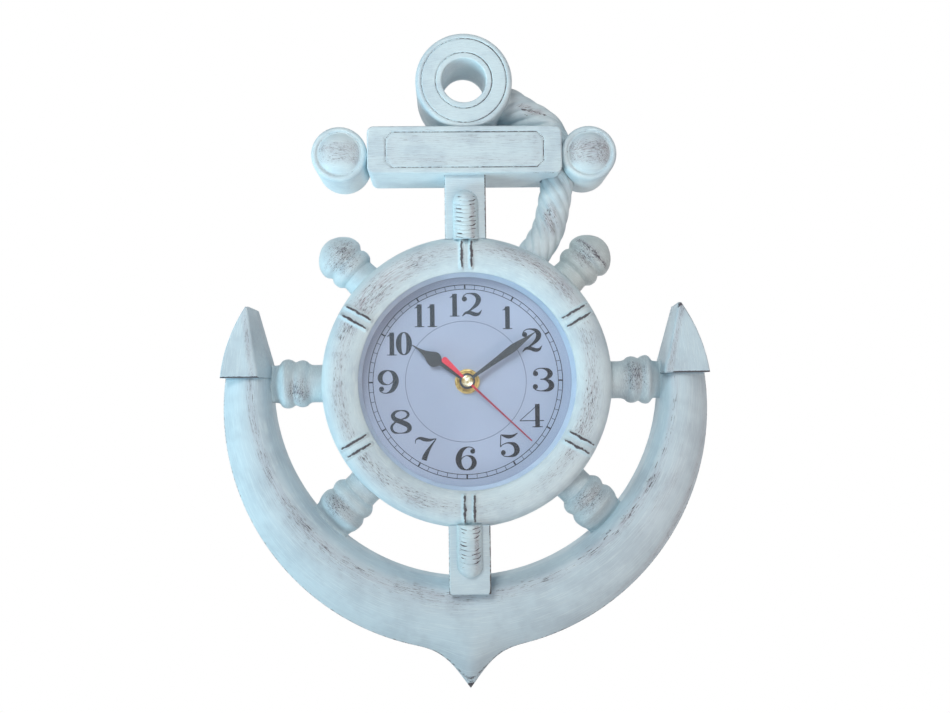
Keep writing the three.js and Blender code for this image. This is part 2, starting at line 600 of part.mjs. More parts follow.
function hourHand() {
  const side = new THREE.Path().moveTo(2.3, 0).lineTo(1.5, 14.5);
  side.bezierCurveTo(4.4, 17, 5.2, 23.5, 1.9, 26.5);
  side.quadraticCurveTo(1, 28, 0.8, 30).lineTo(0, 35.6);
  return handBlade(side, 23.4, 23.9, 4.3, 2.95);
}

function minuteHand() {
  const side = new THREE.Path().moveTo(1.3, 0).lineTo(1, 10);
  side.quadraticCurveTo(1.2, 22, 2.2, 29.5);
  side.quadraticCurveTo(2, 34, 0.5, 40).lineTo(0, 45.3);
  return handBlade(side, 24.8, 25.3, 4.1, 2.15);
}

function secondHand() {
  const side = new THREE.Path().moveTo(0, -18.2);
  side.quadraticCurveTo(1.65, -18.2, 1.65, -15.5).lineTo(1.3, -6).lineTo(0.8, 0);
  side.lineTo(0.35, 46.5).lineTo(0, 47.3);
  const blade = slab(outline([...side.getPoints(5).map(({ x, y }) => [x, y]),
    ...side.getPoints(5).map(({ x, y }) => [-x, y]).reverse().slice(1, -1)]), 26, 26.4);
  return cut(join(blade, rod(3.2, 25.9, 27.2, [0, 0], 28)), rod(1.1, 20, 26.8));
}

// Keyhole plate in the back of the beam; the nail bears at the top of its slot
function hangerPlate() {
  const { half, tall, thick, screw, slot, eye } = hanger;
  const shape = rectangle(half, beamHeight - tall / 2, beamHeight + tall / 2);
  const keyhole = new THREE.Path().absarc(0, nailHeight - slot, slot, 0, Math.PI, false);
  keyhole.absarc(0, beamHeight - 2.2, eye, 2.18, 0.96, false);
  shape.holes.push(keyhole);
  roundHole(shape, 1.6, [screw, beamHeight]);
  roundHole(shape, 1.6, [-screw, beamHeight]);
  const sinks = [-1, 1].map((side) => turned([[0, -1], [3.6, -1], [3.4, 0], [1.6, 1.3], [0, 1.3]], 20,
    [side * screw, beamHeight]));
  return cut(slab(shape, 0, thick, 0, 6), ...sinks);
}

const hangerScrew = (side) =>
  turned([[0, 0.1], [2.9, 0.1], [1.2, 1.4], [1.2, 8.5], [0, 10]], 20, [side * hanger.screw, beamHeight]);

// Assembly
const clock = new THREE.Group();
clock.position.z = -nailHeight;
const hands = new THREE.Group();
const handles = new THREE.Group();
const works = new THREE.Group();
clock.add(hands, handles, works);

function add(parent, name, geometry, look, degrees = 0) {
  const mesh = new THREE.Mesh(geometry, new THREE.MeshStandardMaterial(look));
  mesh.name = name;
  mesh.rotation.y = THREE.MathUtils.degToRad(degrees);
  parent.add(mesh);
}

add(clock, 'ring', ringCasting(), whitewash);
add(clock, 'beam', beamCasting(), whitewash);
add(clock, 'ball_left', ballCasting(-1), whitewash);
add(clock, 'ball_right', ballCasting(1), whitewash);
add(clock, 'shank_upper', shankPlate(wheel.radius - 4, beamFoot), whitewash);
add(clock, 'shank_lower', lowerShank(), whitewash);
add(clock, 'spindle_top', halfSpindle(wheel.radius - 3, spindleTop, true), whitewash);
add(clock, 'spindle_bottom', halfSpindle(spindleFoot, 3 - wheel.radius, false), whitewash);
add(clock, 'arms', armsCasting(), whitewash);
add(clock, 'fluke_left', flukeCasting(-1), whitewash);
add(clock, 'fluke_right', flukeCasting(1), whitewash);
add(clock, 'rope', ropeCasting(), whitewash);
add(clock, 'wheel_rim', wheelRim(), whitewash);
for (const [name, degrees] of Object.entries(handleAngles)) {
  const knob = name === 'ne' || name === 'nw';
  add(handles, `handle_${name}`, knob ? knobHandle() : linkHandle(), whitewash, degrees);
}
for (const name of Object.keys(dowels)) add(clock, `dowel_${name}`, dowel(name), dowelWood);
add(clock, 'hanger_plate', hangerPlate(), steel);
add(clock, 'hanger_screw_left', hangerScrew(-1), steel);
add(clock, 'hanger_screw_right', hangerScrew(1), steel);

add(clock, 'lens', rod(glassRadius, lens.back, lens.front, [0, 0], 48), glass);
add(clock, 'spacer_ring', tube(glassRadius, lip + 1, dial.face, lens.back, [0, 0], 48), whitewash);
add(clock, 'dial_plate', dialPlate(), paper);
add(clock, 'retaining_ring', retainingRing(), paper);

add(works, 'case_front', caseFront(), blackPlastic);
add(works, 'case_back', caseBack(), blackPlastic);
add(works, 'middle_plate', middlePlate(), whitePlastic);
add(works, 'threaded_bushing', tube(3.95, 3.1, 16.9, 23.1), brass);
add(works, 'rubber_washer', tube(9, 4.3, movement.front, dial.face - dial.board), rubber);
add(works, 'brass_washer', tube(6.8, 4.3, dial.face, 20.5), brass);
add(works, 'round_nut', roundNut(), brass);
add(works, 'hour_wheel', hourWheel(), whitePlastic);
add(works, 'motion_wheel', motionWheel(), whitePlastic);
add(works, 'cannon_pinion', cannonPinion(), brass);
add(works, 'centre_wheel', centreWheel(), brass);
add(works, 'second_wheel', secondWheel(), whitePlastic);
add(works, 'third_wheel', thirdWheel(), whitePlastic);
add(works, 'intermediate_wheel', intermediateWheel(), whitePlastic);
add(works, 'rotor', rotor(), steel);
add(works, 'stator', stator(), steel);
add(works, 'coil', coilBobbin(), copper);
add(works, 'circuit_board', circuitBoard(), greenBoard);
add(works, 'quartz_crystal', quartzCrystal(), steel);
add(works, 'set_knob', setKnob(), blackPlastic);
add(works, 'battery', batteryCell(), batteryFoil);
add(works, 'contact_positive', batteryContact(1), steel);
add(works, 'contact_negative', batteryContact(-1), steel);

add(hands, 'hour_hand', hourHand(), blackPaint, shown.hour);
add(hands, 'minute_hand', minuteHand(), blackPaint, shown.minute);
add(hands, 'second_hand', secondHand(), redPaint, shown.second);

const part = new THREE.Group();
part.add(clock);

export default part;
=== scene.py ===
import math
from functools import partial

import bpy
import numpy as np
from mathutils import Matrix


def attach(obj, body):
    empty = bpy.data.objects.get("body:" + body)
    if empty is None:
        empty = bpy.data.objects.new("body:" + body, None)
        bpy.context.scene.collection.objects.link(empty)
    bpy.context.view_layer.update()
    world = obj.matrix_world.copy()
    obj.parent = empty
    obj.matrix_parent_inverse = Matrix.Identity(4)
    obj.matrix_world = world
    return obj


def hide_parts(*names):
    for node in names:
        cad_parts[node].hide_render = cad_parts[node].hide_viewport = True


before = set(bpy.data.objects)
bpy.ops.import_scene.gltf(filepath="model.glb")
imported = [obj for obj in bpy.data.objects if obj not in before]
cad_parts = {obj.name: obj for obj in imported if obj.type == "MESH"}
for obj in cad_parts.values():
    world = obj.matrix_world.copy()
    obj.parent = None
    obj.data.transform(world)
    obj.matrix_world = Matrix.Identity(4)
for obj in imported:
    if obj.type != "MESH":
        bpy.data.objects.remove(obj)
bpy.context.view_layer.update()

nailHeight = 128.0  # mm from the wheel's axis up to the nail, where the frame has its origin
print("frame loaded:", len(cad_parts), "nodes")

# Sizes below are millimetres from the wheel's axis: x to the right, depth in front of the wall, z up.


def toFrame(points):  # metres in the frame: x, minus the depth, and z less the nail's height
    return np.stack((points[..., 0], -points[..., 1], points[..., 2] - nailHeight), -1) / 1000


def linear(hexColor):  # sRGB hex to linear: value / 12.92 when dark, else ((value + 0.055) / 1.055) to the 2.4
    value = np.array([int(hexColor[i:i + 2], 16) for i in (1, 3, 5)]) / 255
    bright = ((value + 0.055) / 1.055) ** 2.4
    return (*np.where(value <= 0.04045, value / 12.92, bright).tolist(), 1.0)


def bump(value, middle, half):  # bell curve: e to the minus squared distance from the middle, in halves
    return np.exp(-((value - middle) / half) ** 2)


def ramp(value, low, high):  # 0 at low, 1 at high, which may be the smaller, and 3t^2 - 2t^3 between
    t = np.clip((value - low) / (high - low), 0, 1)
    return t * t * (3 - 2 * t)


def lobe(degrees, middle, half):  # bell curve round the clock, with the shorter way round as the distance
    return bump((degrees - middle + 180) % 360 - 180, 0, half)


def clockAngle(points):  # degrees round the wheel from the top, clockwise
    return np.degrees(np.arctan2(points[:, 0], points[:, 2])) % 360


def sinCos(degrees):  # sine and cosine of an angle in degrees
    return math.sin(math.radians(degrees)), math.cos(math.radians(degrees))


def unit(vectors):  # each vector over its own length
    return vectors / np.linalg.norm(vectors, axis=-1, keepdims=True)


def normals(line):  # outward normals of an anticlockwise line: the step between both neighbours, turned a quarter
    ahead = np.roll(line, -1, 0) - np.roll(line, 1, 0)
    return unit(np.stack((ahead[:, 1], -ahead[:, 0]), -1))


def route(start, *runs):
    # line from a start, without its last end: a run (end, count) is (1-t) start + t end, and a run
    # (pull, end, count) the quadratic curve (1-t)^2 start + 2t(1-t) pull + t^2 end
    parts = []
    for *places, count in runs:
        t = np.linspace(0, 1, count, endpoint=False)[:, None]
        first, pull, last = (np.array(p, float) for p in (start, places[0], places[-1]))
        if len(places) == 1:
            parts.append((1 - t) * first + t * last)
        else:
            parts.append((1 - t) ** 2 * first + 2 * t * (1 - t) * pull + t ** 2 * last)
        start = places[-1]
    return np.vstack(parts)


def walk(line, spacing, closed=True):  # the same line with points at even distances along it
    if closed:
        line = np.vstack((line, line[:1]))
    steps = np.linalg.norm(np.diff(line, axis=0), axis=1)
    keep = np.concatenate(([True], steps > 1e-7))
    line, run = line[keep], np.concatenate(([0.0], np.cumsum(steps)))[keep]
    at = np.linspace(0, run[-1], max(round(run[-1] / spacing), 4) + 1)
    even = np.stack([np.interp(at, run, line[:, k]) for k in range(line.shape[1])], -1)
    return even[:-1] if closed else even


def rounded(corners, radius, spacing):  # closed line whose corners are quadratic curves that start a radius away
    corners = np.asarray(corners, float)
    before, after = np.roll(corners, 1, 0) - corners, np.roll(corners, -1, 0) - corners
    start, end = (corners + step * np.minimum(radius / np.linalg.norm(step, axis=1, keepdims=True), 0.48)
                  for step in (before, after))
    t = np.linspace(0, 1, 9)[None, :, None]
    arcs = (1 - t) ** 2 * start[:, None] + 2 * t * (1 - t) * corners[:, None] + t ** 2 * end[:, None]
    return walk(arcs.reshape(-1, corners.shape[1]), spacing)


def throughPoints(points, perStep):  # Catmull-Rom curve: the cubic through four neighbours at a time
    p = np.asarray(points, float)
    p = np.vstack((2 * p[0] - p[1], p, 2 * p[-1] - p[-2]))
    a, b, c, d = (q[:, None] for q in (p[:-3], p[1:-2], p[2:-1], p[3:]))
    t = np.linspace(0, 1, perStep, endpoint=False)[None, :, None]
    curve = 0.5 * (2 * b + (c - a) * t + (2 * a - 5 * b + 4 * c - d) * t ** 2 + (3 * b - a - 3 * c + d) * t ** 3)
    return np.vstack((curve.reshape(-1, p.shape[1]), p[-2:-1]))


def turned(profile, steps, middle=(0.0, 0.0)):  # (radius, depth) line turned about the y axis through (x, z)
    turn = (np.arange(steps) / steps * 2 * np.pi)[:, None] if np.isscalar(steps) else steps[:, None]
    radius, depth = profile[None, :, 0], profile[None, :, 1]
    return np.stack((middle[0] + radius * np.sin(turn), depth + 0 * turn, middle[1] + radius * np.cos(turn)), -1)


def alongSpoke(out, side, depth, degrees):  # out along the wheel's spoke at these degrees, side to its right
    sin, cos = sinCos(degrees)
    return np.stack((out * sin + side * cos, depth, out * cos - side * sin), -1)


def stacked(rows):  # grid of closed (x, z) lines, each at its own depth
    return np.stack([np.column_stack((flat[:, 0], np.full(len(flat), depth), flat[:, 1])) for flat, depth in rows], 1)


def roundEdge(front, radius, count):  # (inset, depth) down a quarter circle from the side to the front
    turn = np.linspace(0, np.pi / 2, count)[1:]
    return list(zip(radius * (1 - np.cos(turn)), front - radius + radius * np.sin(turn)))


def gridFaces(points, first, ring):
    # faces between neighbours on a grid[around, along] that closes around, and along too for a ring, else in poles;
    # they are turned round where the volume, the sum of their corners' triple products, is negative
    around, along = points.shape[:2]
    flat = points.reshape(-1, 3)
    index = np.arange(around * along).reshape(around, along)
    if ring:
        index = np.column_stack((index, index[:, 0]))
    beside = np.roll(index, -1, 0)
    quads = np.stack((index[:, :-1], beside[:, :-1], beside[:, 1:], index[:, 1:]), -1).reshape(-1, 4)
    fans = np.zeros((0, 3), int)
    if not ring:
        flat = np.vstack((flat, points[:, 0].mean(0), points[:, -1].mean(0)))
        low, high = np.full(around, around * along), np.full(around, around * along + 1)
        fans = np.concatenate((np.stack((beside[:, 0], index[:, 0], low), -1),
                               np.stack((index[:, -1], beside[:, -1], high), -1)))
    place = toFrame(flat)
    volume = 0.0
    for corners in (quads[:, :3], quads[:, [0, 2, 3]], fans):
        a, b, c = (place[corners[:, k]] for k in range(3))
        volume += np.sum(a * np.cross(b, c))
    step = 1 if volume >= 0 else -1
    return flat, quads[:, ::step] + first, fans[:, ::step] + first


def closedMesh(name, grids, ring=False, marks=None, smooth=True):  # one mesh of all the grids' points and faces
    points, quads, fans = np.zeros((0, 3)), [], []
    for grid in grids:
        flat, four, three = gridFaces(grid, len(points), ring)
        points = np.vstack((points, flat))
        quads.append(four)
        fans.append(three)
    quads, fans = np.vstack(quads), np.vstack(fans)
    corners = np.concatenate((quads.ravel(), fans.ravel())).astype(np.int32)
    sizes = np.concatenate((np.full(len(quads), 4), np.full(len(fans), 3)))
    mesh = bpy.data.meshes.new(name)
    mesh.vertices.add(len(points))
    mesh.vertices.foreach_set("co", toFrame(points).astype(np.float32).ravel())
    mesh.loops.add(len(corners))
    mesh.loops.foreach_set("vertex_index", corners)
    mesh.polygons.add(len(sizes))
    mesh.polygons.foreach_set("loop_start", (np.cumsum(sizes) - sizes).astype(np.int32))
    mesh.update(calc_edges=True)
    mesh.polygons.foreach_set("use_smooth", np.full(len(sizes), smooth))
    if marks:  # brush direction, worn places, and caught edges with some painted shade, for the white coat's material
        grain, wear, edge = marks(points)
        store = mesh.attributes.new("grain", "FLOAT_VECTOR", "POINT").data
        store.foreach_set("vector", grain.astype(np.float32).ravel())
        for label, amount in (("wear", wear), ("edge", edge)):
            value = np.clip(np.broadcast_to(amount, len(points)), 0, 1)
            mesh.attributes.new(label, "FLOAT", "POINT").data.foreach_set("value", value.astype(np.float32))
    return mesh


def addPiece(name, grids, finish, body="clock_body", stands=(), slot="whitewash", **shape):
    # one piece of a grid, or of a list of them, that rides on a body and stands for the CAD nodes named
    mesh = closedMesh(name, grids if isinstance(grids, list) else [grids], **shape)
    mesh.materials.append(finish)
    piece = bpy.data.objects.new(name, mesh)
    bpy.context.scene.collection.objects.link(piece)
    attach(piece, body)
    if stands:
        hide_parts(*stands)
    return piece


usual = {"Math": {"operation": "MULTIPLY_ADD"}, "Mix": {"data_type": "RGBA"},  # where a call says nothing else
         "MapRange": {"interpolation_type": "SMOOTHSTEP"}}


def addNode(material, kind, *values, **settings):
    # one node: values go to its inputs in order, capital settings to inputs by name, the others to the node itself;
    # a value is a number, a vector, a hex colour, a socket, or a node, which stands for its first output
    node = material.node_tree.nodes.new("ShaderNode" + kind)
    named = {}
    for key, value in {**usual.get(kind, {}), **settings}.items():
        if key[0].isupper():
            named[node.inputs[key.replace("_", " ")]] = value
        else:
            setattr(node, key, value)
    for socket, value in (*zip((s for s in node.inputs if s.enabled), values), *named.items()):
        if isinstance(value, bpy.types.Node):
            value = next(s for s in value.outputs if s.enabled)
        if isinstance(value, bpy.types.NodeSocket):
            material.node_tree.links.new(value, socket)
        else:
            socket.default_value = linear(value) if isinstance(value, str) else value
    return node


def newMaterial(name):  # an empty material, what adds its nodes, and the place on the object for its patterns
    material = bpy.data.materials.new(name)
    material.use_nodes = True
    material.node_tree.nodes.clear()
    add = partial(addNode, material)
    return material, add, add("TexCoord").outputs["Object"]


paint = {
    "ground": "#d3e6ec",  # the white coat, painted pale blue: the room's blue light painted into its colour
    "shade": "#c4d7e0",  # where it lies thin
    "thick": "#e2f1f4",  # ridges that the brush leaves
    "hair": "#93a0ac",  # hair lines between them
    "lines": 0.12,  # how much these show
    "brown": "#3e3138",  # dark brown dry-brushed over it
    "blush": "#a08a92",  # the same brown rubbed thin
    "roughness": 0.48,
}


def whitewash(name, **changes):
    # Polyresin casting with a brushed satin white coat and dark brown dry-brushed over it: hair lines along the
    # brush, thin blushes and broken specks of brown where the piece stands proud, brown caught in edges, and
    # through the same edge mask some painted shade on sides that face away from the light.
    # The grain attribute counts stroke widths, so noise at scale 1 gives strokes of the piece's own size.
    look = {**paint, **changes}
    m, add, place = newMaterial("Brushed white coat, " + name)
    grain = add("Attribute", attribute_name="grain").outputs["Vector"]
    wear, edge = (add("Attribute", attribute_name=label).outputs["Fac"] for label in ("wear", "edge"))
    stroke, fine = add("TexNoise", grain, 1.0, 3.0, 0.6), add("TexNoise", grain, 2.6, 3.0, 0.6)
    cloud, broken = add("TexNoise", place, 52.0, 3.0, 0.6), add("TexNoise", place, 620.0, 2.0)
    coat = add("Mix", add("MapRange", cloud, 0.38, 0.66), look["ground"], look["shade"])
    coat = add("Mix", add("MapRange", stroke, 0.5, 0.34, 0.0, 0.4), coat, look["thick"])
    coat = add("Mix", add("MapRange", fine, 0.5, 0.7, 0.0, look["lines"]), coat, look["hair"])
    coat = add("Mix", add("MapRange", wear, 0.0, 0.5, 0.0, 0.22), coat, look["blush"])
    reach = add("Math", wear, 0.12, add("Math", cloud, 0.12, stroke))
    blush = add("Math", add("MapRange", reach, 0.56, 0.84), add("MapRange", wear, 0.0, 1.1), operation="MULTIPLY")
    specks = add("Math", fine, 0.85, add("Math", broken, 0.15, operation="MULTIPLY"))
    specks = add("Math", wear, 0.12, add("Math", cloud, 0.2, specks))
    specks = add("Math", add("MapRange", specks, 0.7, 0.78), add("MapRange", wear, 0.08, 0.4), operation="MULTIPLY")
    caught = add("MapRange", add("Math", broken, 0.7, add("Math", fine, 0.5, edge)), 0.98, 1.2)
    dark = add("Math", add("Math", specks, caught, operation="MAXIMUM"), 0.92, operation="MULTIPLY")
    color = add("Mix", dark, add("Mix", blush, coat, look["blush"]), look["brown"])
    relief = add("Math", fine, 0.5, add("Math", broken, 0.35, stroke))
    rough = add("Math", dark, 0.25, add("Math", cloud, 0.2, look["roughness"] - 0.1))
    add("OutputMaterial", add("BsdfPrincipled", IOR=1.46, Base_Color=color, Roughness=rough,
                              Normal=add("Bump", 0.3, 0.0003, Height=relief)))
    return m


# Brush directions: one unit is one stroke length along the brush and one stroke width across it.
def flatGrain(points, length, width, degrees=0.0):  # strokes along a line in the front, degrees above the level
    sin, cos = sinCos(degrees)
    along = points[:, 0] * cos + points[:, 2] * sin
    across = points[:, 2] * cos - points[:, 0] * sin
    return np.stack((along / length, across / width, points[:, 1] / width), -1)


def roundGrain(points, length, width, middle=75):  # strokes round the wheel; across them, radius less depth
    radius = np.hypot(points[:, 0], points[:, 2])
    around = points[:, [0, 2]] / radius[:, None] * middle / length
    return np.column_stack((around, (radius - points[:, 1]) / width))


rim = {"radius": 78.5, "side": 25.0, "crest": 34.0, "crestRadius": 69.0, "lip": 58.4, "lipFront": 31.5,
       "cavity": 62.4, "ledge": 30.2,
       "brown": ((318, 26, 70, 6, 0.5), (318, 26, 64, 3, 0.25), (262, 30, 68, 4, 0.24), (205, 40, 66, 5, 0.22),
                 (105, 34, 66, 4, 0.5), (35, 30, 72, 4, 0.4))}  # degrees and half, radius and half, how much
rib = {"spacing": 5.2, "half": 1.6, "height": 1.15, "start": 59.0, "end": 77.8}


def fromSpoke(turn):  # the angle from the nearest of the six spokes that carry ribs
    return turn - np.round(turn / (np.pi / 3)) * np.pi / 3


def ribHeight(x, z):  # six pairs of rounded ridges along the spokes: (1 - t^2)^1.5 across, eased at both ends
    radius = np.hypot(x, z)
    across = (np.abs(radius * np.sin(fromSpoke(np.arctan2(x, z)))) - rib["spacing"] / 2) / rib["half"]
    ridge = np.clip(1 - across ** 2, 0, 1) ** 1.5
    return ridge * ramp(radius, rib["start"], rib["start"] + 2) * ramp(radius, rib["end"], rib["end"] - 2)


def rimMarks(points):
    # patches of brown between the ribs, and on each rib a slightly wavy dark band along its upper right flank, brown
    # wear with painted shade on the side away from the light: an offset towards (0.5, 0.87) in the wheel's turn
    x, depth, z = points.T
    radius, angle, turn = np.hypot(x, z), clockAngle(points), np.arctan2(x, z)
    front = ramp(depth, 20, 27)
    patches = sum(much * lobe(angle, way, wide) * bump(radius, far, half)
                  for way, wide, far, half, much in rim["brown"])
    along = radius * np.sin(fromSpoke(turn))
    # painted shade with brown wear: the band darkens the flank of each rib that faces away from the light
    off = along - np.sign(along) * rib["spacing"] / 2 - 0.45 * (0.5 * np.cos(turn) - 0.87 * np.sin(turn))
    off = (off + 0.1 * np.sin(radius * 0.9 + 3 * turn)) / (0.6 + 0.4 * bump(radius, 68, 6))
    band = bump(off, 0, 1.15) * ramp(radius, 58.9, 61.5) * ramp(radius, 77.8, 74)
    clear = ramp(np.abs(along), 3.8, 5.2)  # the paint between and beside the ribs stays clean
    wear = (patches + 0.15 * bump(radius, 70, 6)) * front * clear
    edge = 0.7 * band * front + 0.42 * bump(radius, rim["radius"], 0.5) * bump(depth, 24, 3)
    return roundGrain(points, 9.0, 0.62), wear, edge


def makeRim():
    # profile turned about the axis, each point moved out along the profile's normal by the height of the ribs
    radius, side, crest, crestRadius, lip, lipFront, cavity, ledge = list(rim.values())[:8]
    profile = route((cavity, 0), ((radius - 0.6, 0), 8), ((radius, 0.6), 2), ((radius, side), 12),
                    ((radius - 1, crest), (crestRadius, crest), 34), ((lip + 3.5, crest), (lip, lipFront), 36),
                    ((lip, ledge), 3), ((cavity, ledge), 3), ((cavity, 0), 10))
    # angles stand closer together near the ribs: even steps of an angle that is weighted by 1 + 8 bumps
    fine = np.linspace(0, 2 * np.pi, 7201)
    weight = np.cumsum(1 + 8 * bump(fromSpoke(fine), 0, 0.06))
    angles = np.interp(np.linspace(weight[0], weight[-1], 561)[:-1], weight, fine)
    points = turned(profile, angles)
    height = ribHeight(points[..., 0], points[..., 2]) * ramp(points[..., 1], side - 1, side + 3)
    points += rib["height"] * height[..., None] * turned(normals(profile), angles)
    addPiece("wheelRim", points, whitewash("wheel rim"), stands=("wheel_rim",), ring=True, marks=rimMarks)


makeRim()
print("wheel rim made")

ring = {"outer": 26.2, "bore": 12.0, "depth": 34.0, "height": 162.3, "grooves": (23.0, 15.3), "deep": 0.6}


def ringGroove(radius, half):  # 1 in the middle of each round groove
    return np.max([bump(radius, middle, half) for middle in ring["grooves"]], 0)


def ringMarks(points):  # brown in both grooves, most to the right, and along the edges of the front and the back
    radius = np.hypot(points[:, 0], points[:, 2] - ring["height"])
    front = ramp(points[:, 1], 31.5, 33)
    line = ringGroove(radius, 0.3) * front * (0.5 + 0.35 * bump(points[:, 0], 14, 14))
    rimLine = 0.42 * bump(radius, ring["outer"], 0.5) * bump(points[:, 1], 31.8, 0.7)
    return flatGrain(points, 11, 0.5, 8), 0.1 * front, line + rimLine + 0.25 * bump(points[:, 1], 0.5, 0.8)


def makeRing():  # profile turned about the ring's own axis, its front pressed down in two grooves
    outer, bore, depth = ring["outer"], ring["bore"], ring["depth"]
    profile = route((bore, 0), ((outer - 0.5, 0), 10), ((outer, 0), (outer, 0.5), 4), ((outer, depth - 2.6), 16),
                    ((outer, depth - 0.2), (outer - 2.0, depth), 9), ((bore + 1.0, depth), 64),
                    ((bore, depth), (bore, depth - 1.0), 6), ((bore, 0), 16))
    front = (profile[:, 1] > depth - 0.01) & (profile[:, 0] < outer - 1.9)
    profile[:, 1] -= ring["deep"] * ringGroove(profile[:, 0], 0.33) * front
    addPiece("ringEye", turned(profile, 200, (0.0, ring["height"])), whitewash("ring", lines=0.24), stands=("ring",),
             ring=True, marks=ringMarks)


makeRing()

beam = {"half": 52.4, "low": 111.3, "high": 137.1, "depth": 35.0, "corner": 4.0, "bevel": 0.9,
        "panelX": 42.9, "panelZ": 10.0, "chamfer": 3.8, "line": -0.42, "deep": 0.6,
        "rows": ((1.0, 2.2, 4), (2.5, 4.2, 10), (4.8, 8.8, 7), (9.1, 10.9, 9), (11.4, 12.85, 3))}  # insets in front


def panelEdge(x, z):  # distance outside the octagonal panel's line: the furthest of its side and corner planes
    x, z = np.abs(x), np.abs(z - (beam["low"] + beam["high"]) / 2)
    corner = (x + z - (beam["panelX"] + beam["panelZ"] - beam["chamfer"])) / math.sqrt(2)
    return np.maximum(np.maximum(x - beam["panelX"], z - beam["panelZ"]), corner)


def beamMarks(points):  # brown in the panel's line, along the right and lower edges and round the back's edge
    x, depth, z = points.T
    front = ramp(depth, 33.6, 34.6)
    away = panelEdge(x, z)
    line = bump(away, beam["line"], 0.3) * front * (0.7 + 0.1 * np.sign(x + z - 124))
    rimLine = np.maximum(bump(x, beam["half"], 0.9), bump(z, beam["low"], 0.8)) * bump(depth, 34.2, 0.9)
    edge = line + 0.42 * rimLine * ramp(x, -10, 45) + 0.3 * bump(depth, 0.6, 0.8)
    return flatGrain(points, 15, 0.42), 0.16 * front + 0.1 * front * bump(away, -4, 3), edge


def makeBeam():
    # rounded rectangle from the middle of the back, up the side and in over the front; a row inside the outline has
    # both coordinates moved towards the middle line, and the front is pressed down along the panel's line
    middle = np.array((0, (beam["low"] + beam["high"]) / 2))
    half = np.array((beam["half"], (beam["high"] - beam["low"]) / 2))
    bevel, depth = beam["bevel"], beam["depth"]
    outline = rounded(np.array(((-1, -1), (1, -1), (1, 1), (-1, 1))) * half + middle, beam["corner"], 0.55)
    steps = [(inset, 0.0) for inset in (12.0, 8.0, 4.0, 0.6)]
    steps += [(0.0, d) for d in (0.6, *np.linspace(2, depth - bevel, 20))] + roundEdge(depth, bevel, 5)
    steps += [(inset, depth) for row in beam["rows"] for inset in np.linspace(*row)]
    inward = np.clip((middle - outline) / half, -1, 1)
    points = stacked([(outline + inward * np.minimum(inset, half), d) for inset, d in steps])
    front = points[..., 1] > depth - 0.001
    points[..., 1] -= front * beam["deep"] * bump(panelEdge(points[..., 0], points[..., 2]), beam["line"], 0.34)
    return addPiece("crossBeam", points, whitewash("beam", lines=0.34), stands=("beam",), marks=beamMarks)


crossBeam = makeBeam()
print("ring and beam made")

ball = {"x": 67.8, "z": 123.2, "radius": 15.1, "front": 31.0, "inset": 11.5, "dome": 33.4}


def ballMarks(side, points):  # two level bands of brown over the dome, and brown round the dome's foot and the back
    x, depth, z = points[:, 0] - side * ball["x"], points[:, 1], points[:, 2] - ball["z"]
    radius = np.hypot(x, z)
    dome = ramp(radius, ball["inset"], ball["inset"] - 0.8) * ramp(depth, 28, 30)
    wear = dome * (0.45 * bump(z, 2.5, 4.5) + 0.3 * bump(z, -4, 3) + 0.08 * (side > 0))
    edge = 0.35 * bump(radius, ball["inset"] + 0.4, 0.5) * ramp(depth, 28, 29) + 0.3 * bump(depth, 0.5, 0.8)
    return flatGrain(points + np.stack((0 * x, 0 * x, 0.025 * x * x), -1), 9, 0.6, 4 * side), wear, edge


def makeBall(name, side):  # profile turned about the ball's axis: a drum, a rounded rim, a groove and a low dome
    radius, front, inset, dome = (ball[key] for key in ("radius", "front", "inset", "dome"))
    profile = route((0.4, 0), ((radius - 0.5, 0), 8), ((radius, 0), (radius, 0.5), 4), ((radius, front - 2.5), 18),
                    ((radius, front), (radius - 2.2, front), 8),
                    ((inset + 0.9, front - 0.1), (inset + 0.35, front - 0.6), 6),
                    ((inset - 0.4, front - 0.6), (inset - 1.0, front + 0.1), 5), ((inset - 4.0, dome), (0.4, dome), 26))
    return addPiece("ball_" + name + "Cap", turned(profile, 130, (side * ball["x"], ball["z"])),
                    whitewash("ball " + name), stands=("ball_" + name,), marks=partial(ballMarks, side))


makeBall("left", -1)
ballRight = makeBall("right", 1)

shank = {"half": 11.1, "front": 31.0, "bevel": 0.8, "foot": -113.0, "top": 112.3, "end": 76.5}
spindle = {"radius": 6.7, "top": 102.8, "foot": -103.9, "end": 76.0, "pitch": 2.2, "deep": 0.34}


def shankMarks(points):  # brown along both sides, the right side's line also painted shade, along the lowest edge and corners, and beside the spindle's outer end
    x, depth, z = points.T
    front = ramp(depth, 29.5, 30.6)
    # brown on the front's side edges; the right one, a little stronger, is also painted shade
    side = (0.6 * ramp(x, 9.9, 10.7) + 0.5 * ramp(-x, 10.4, 11.0)) * ramp(depth, 28.6, 29.6)
    corner = bump(np.abs(x), 10.4, 0.8) * bump(z, shank["foot"] + 1, 1.6)
    edge = side + (0.3 * bump(z, shank["foot"], 0.9) + 0.3 * corner) * ramp(depth, 26, 30)
    beside = bump(np.abs(x) - spindle["radius"], 0.1, 0.5) * ramp(np.abs(z), 78, 80) * ramp(np.abs(z), 104, 100)
    return flatGrain(points, 9, 0.5, 2), 0.12 * front, edge + 0.35 * beside * front


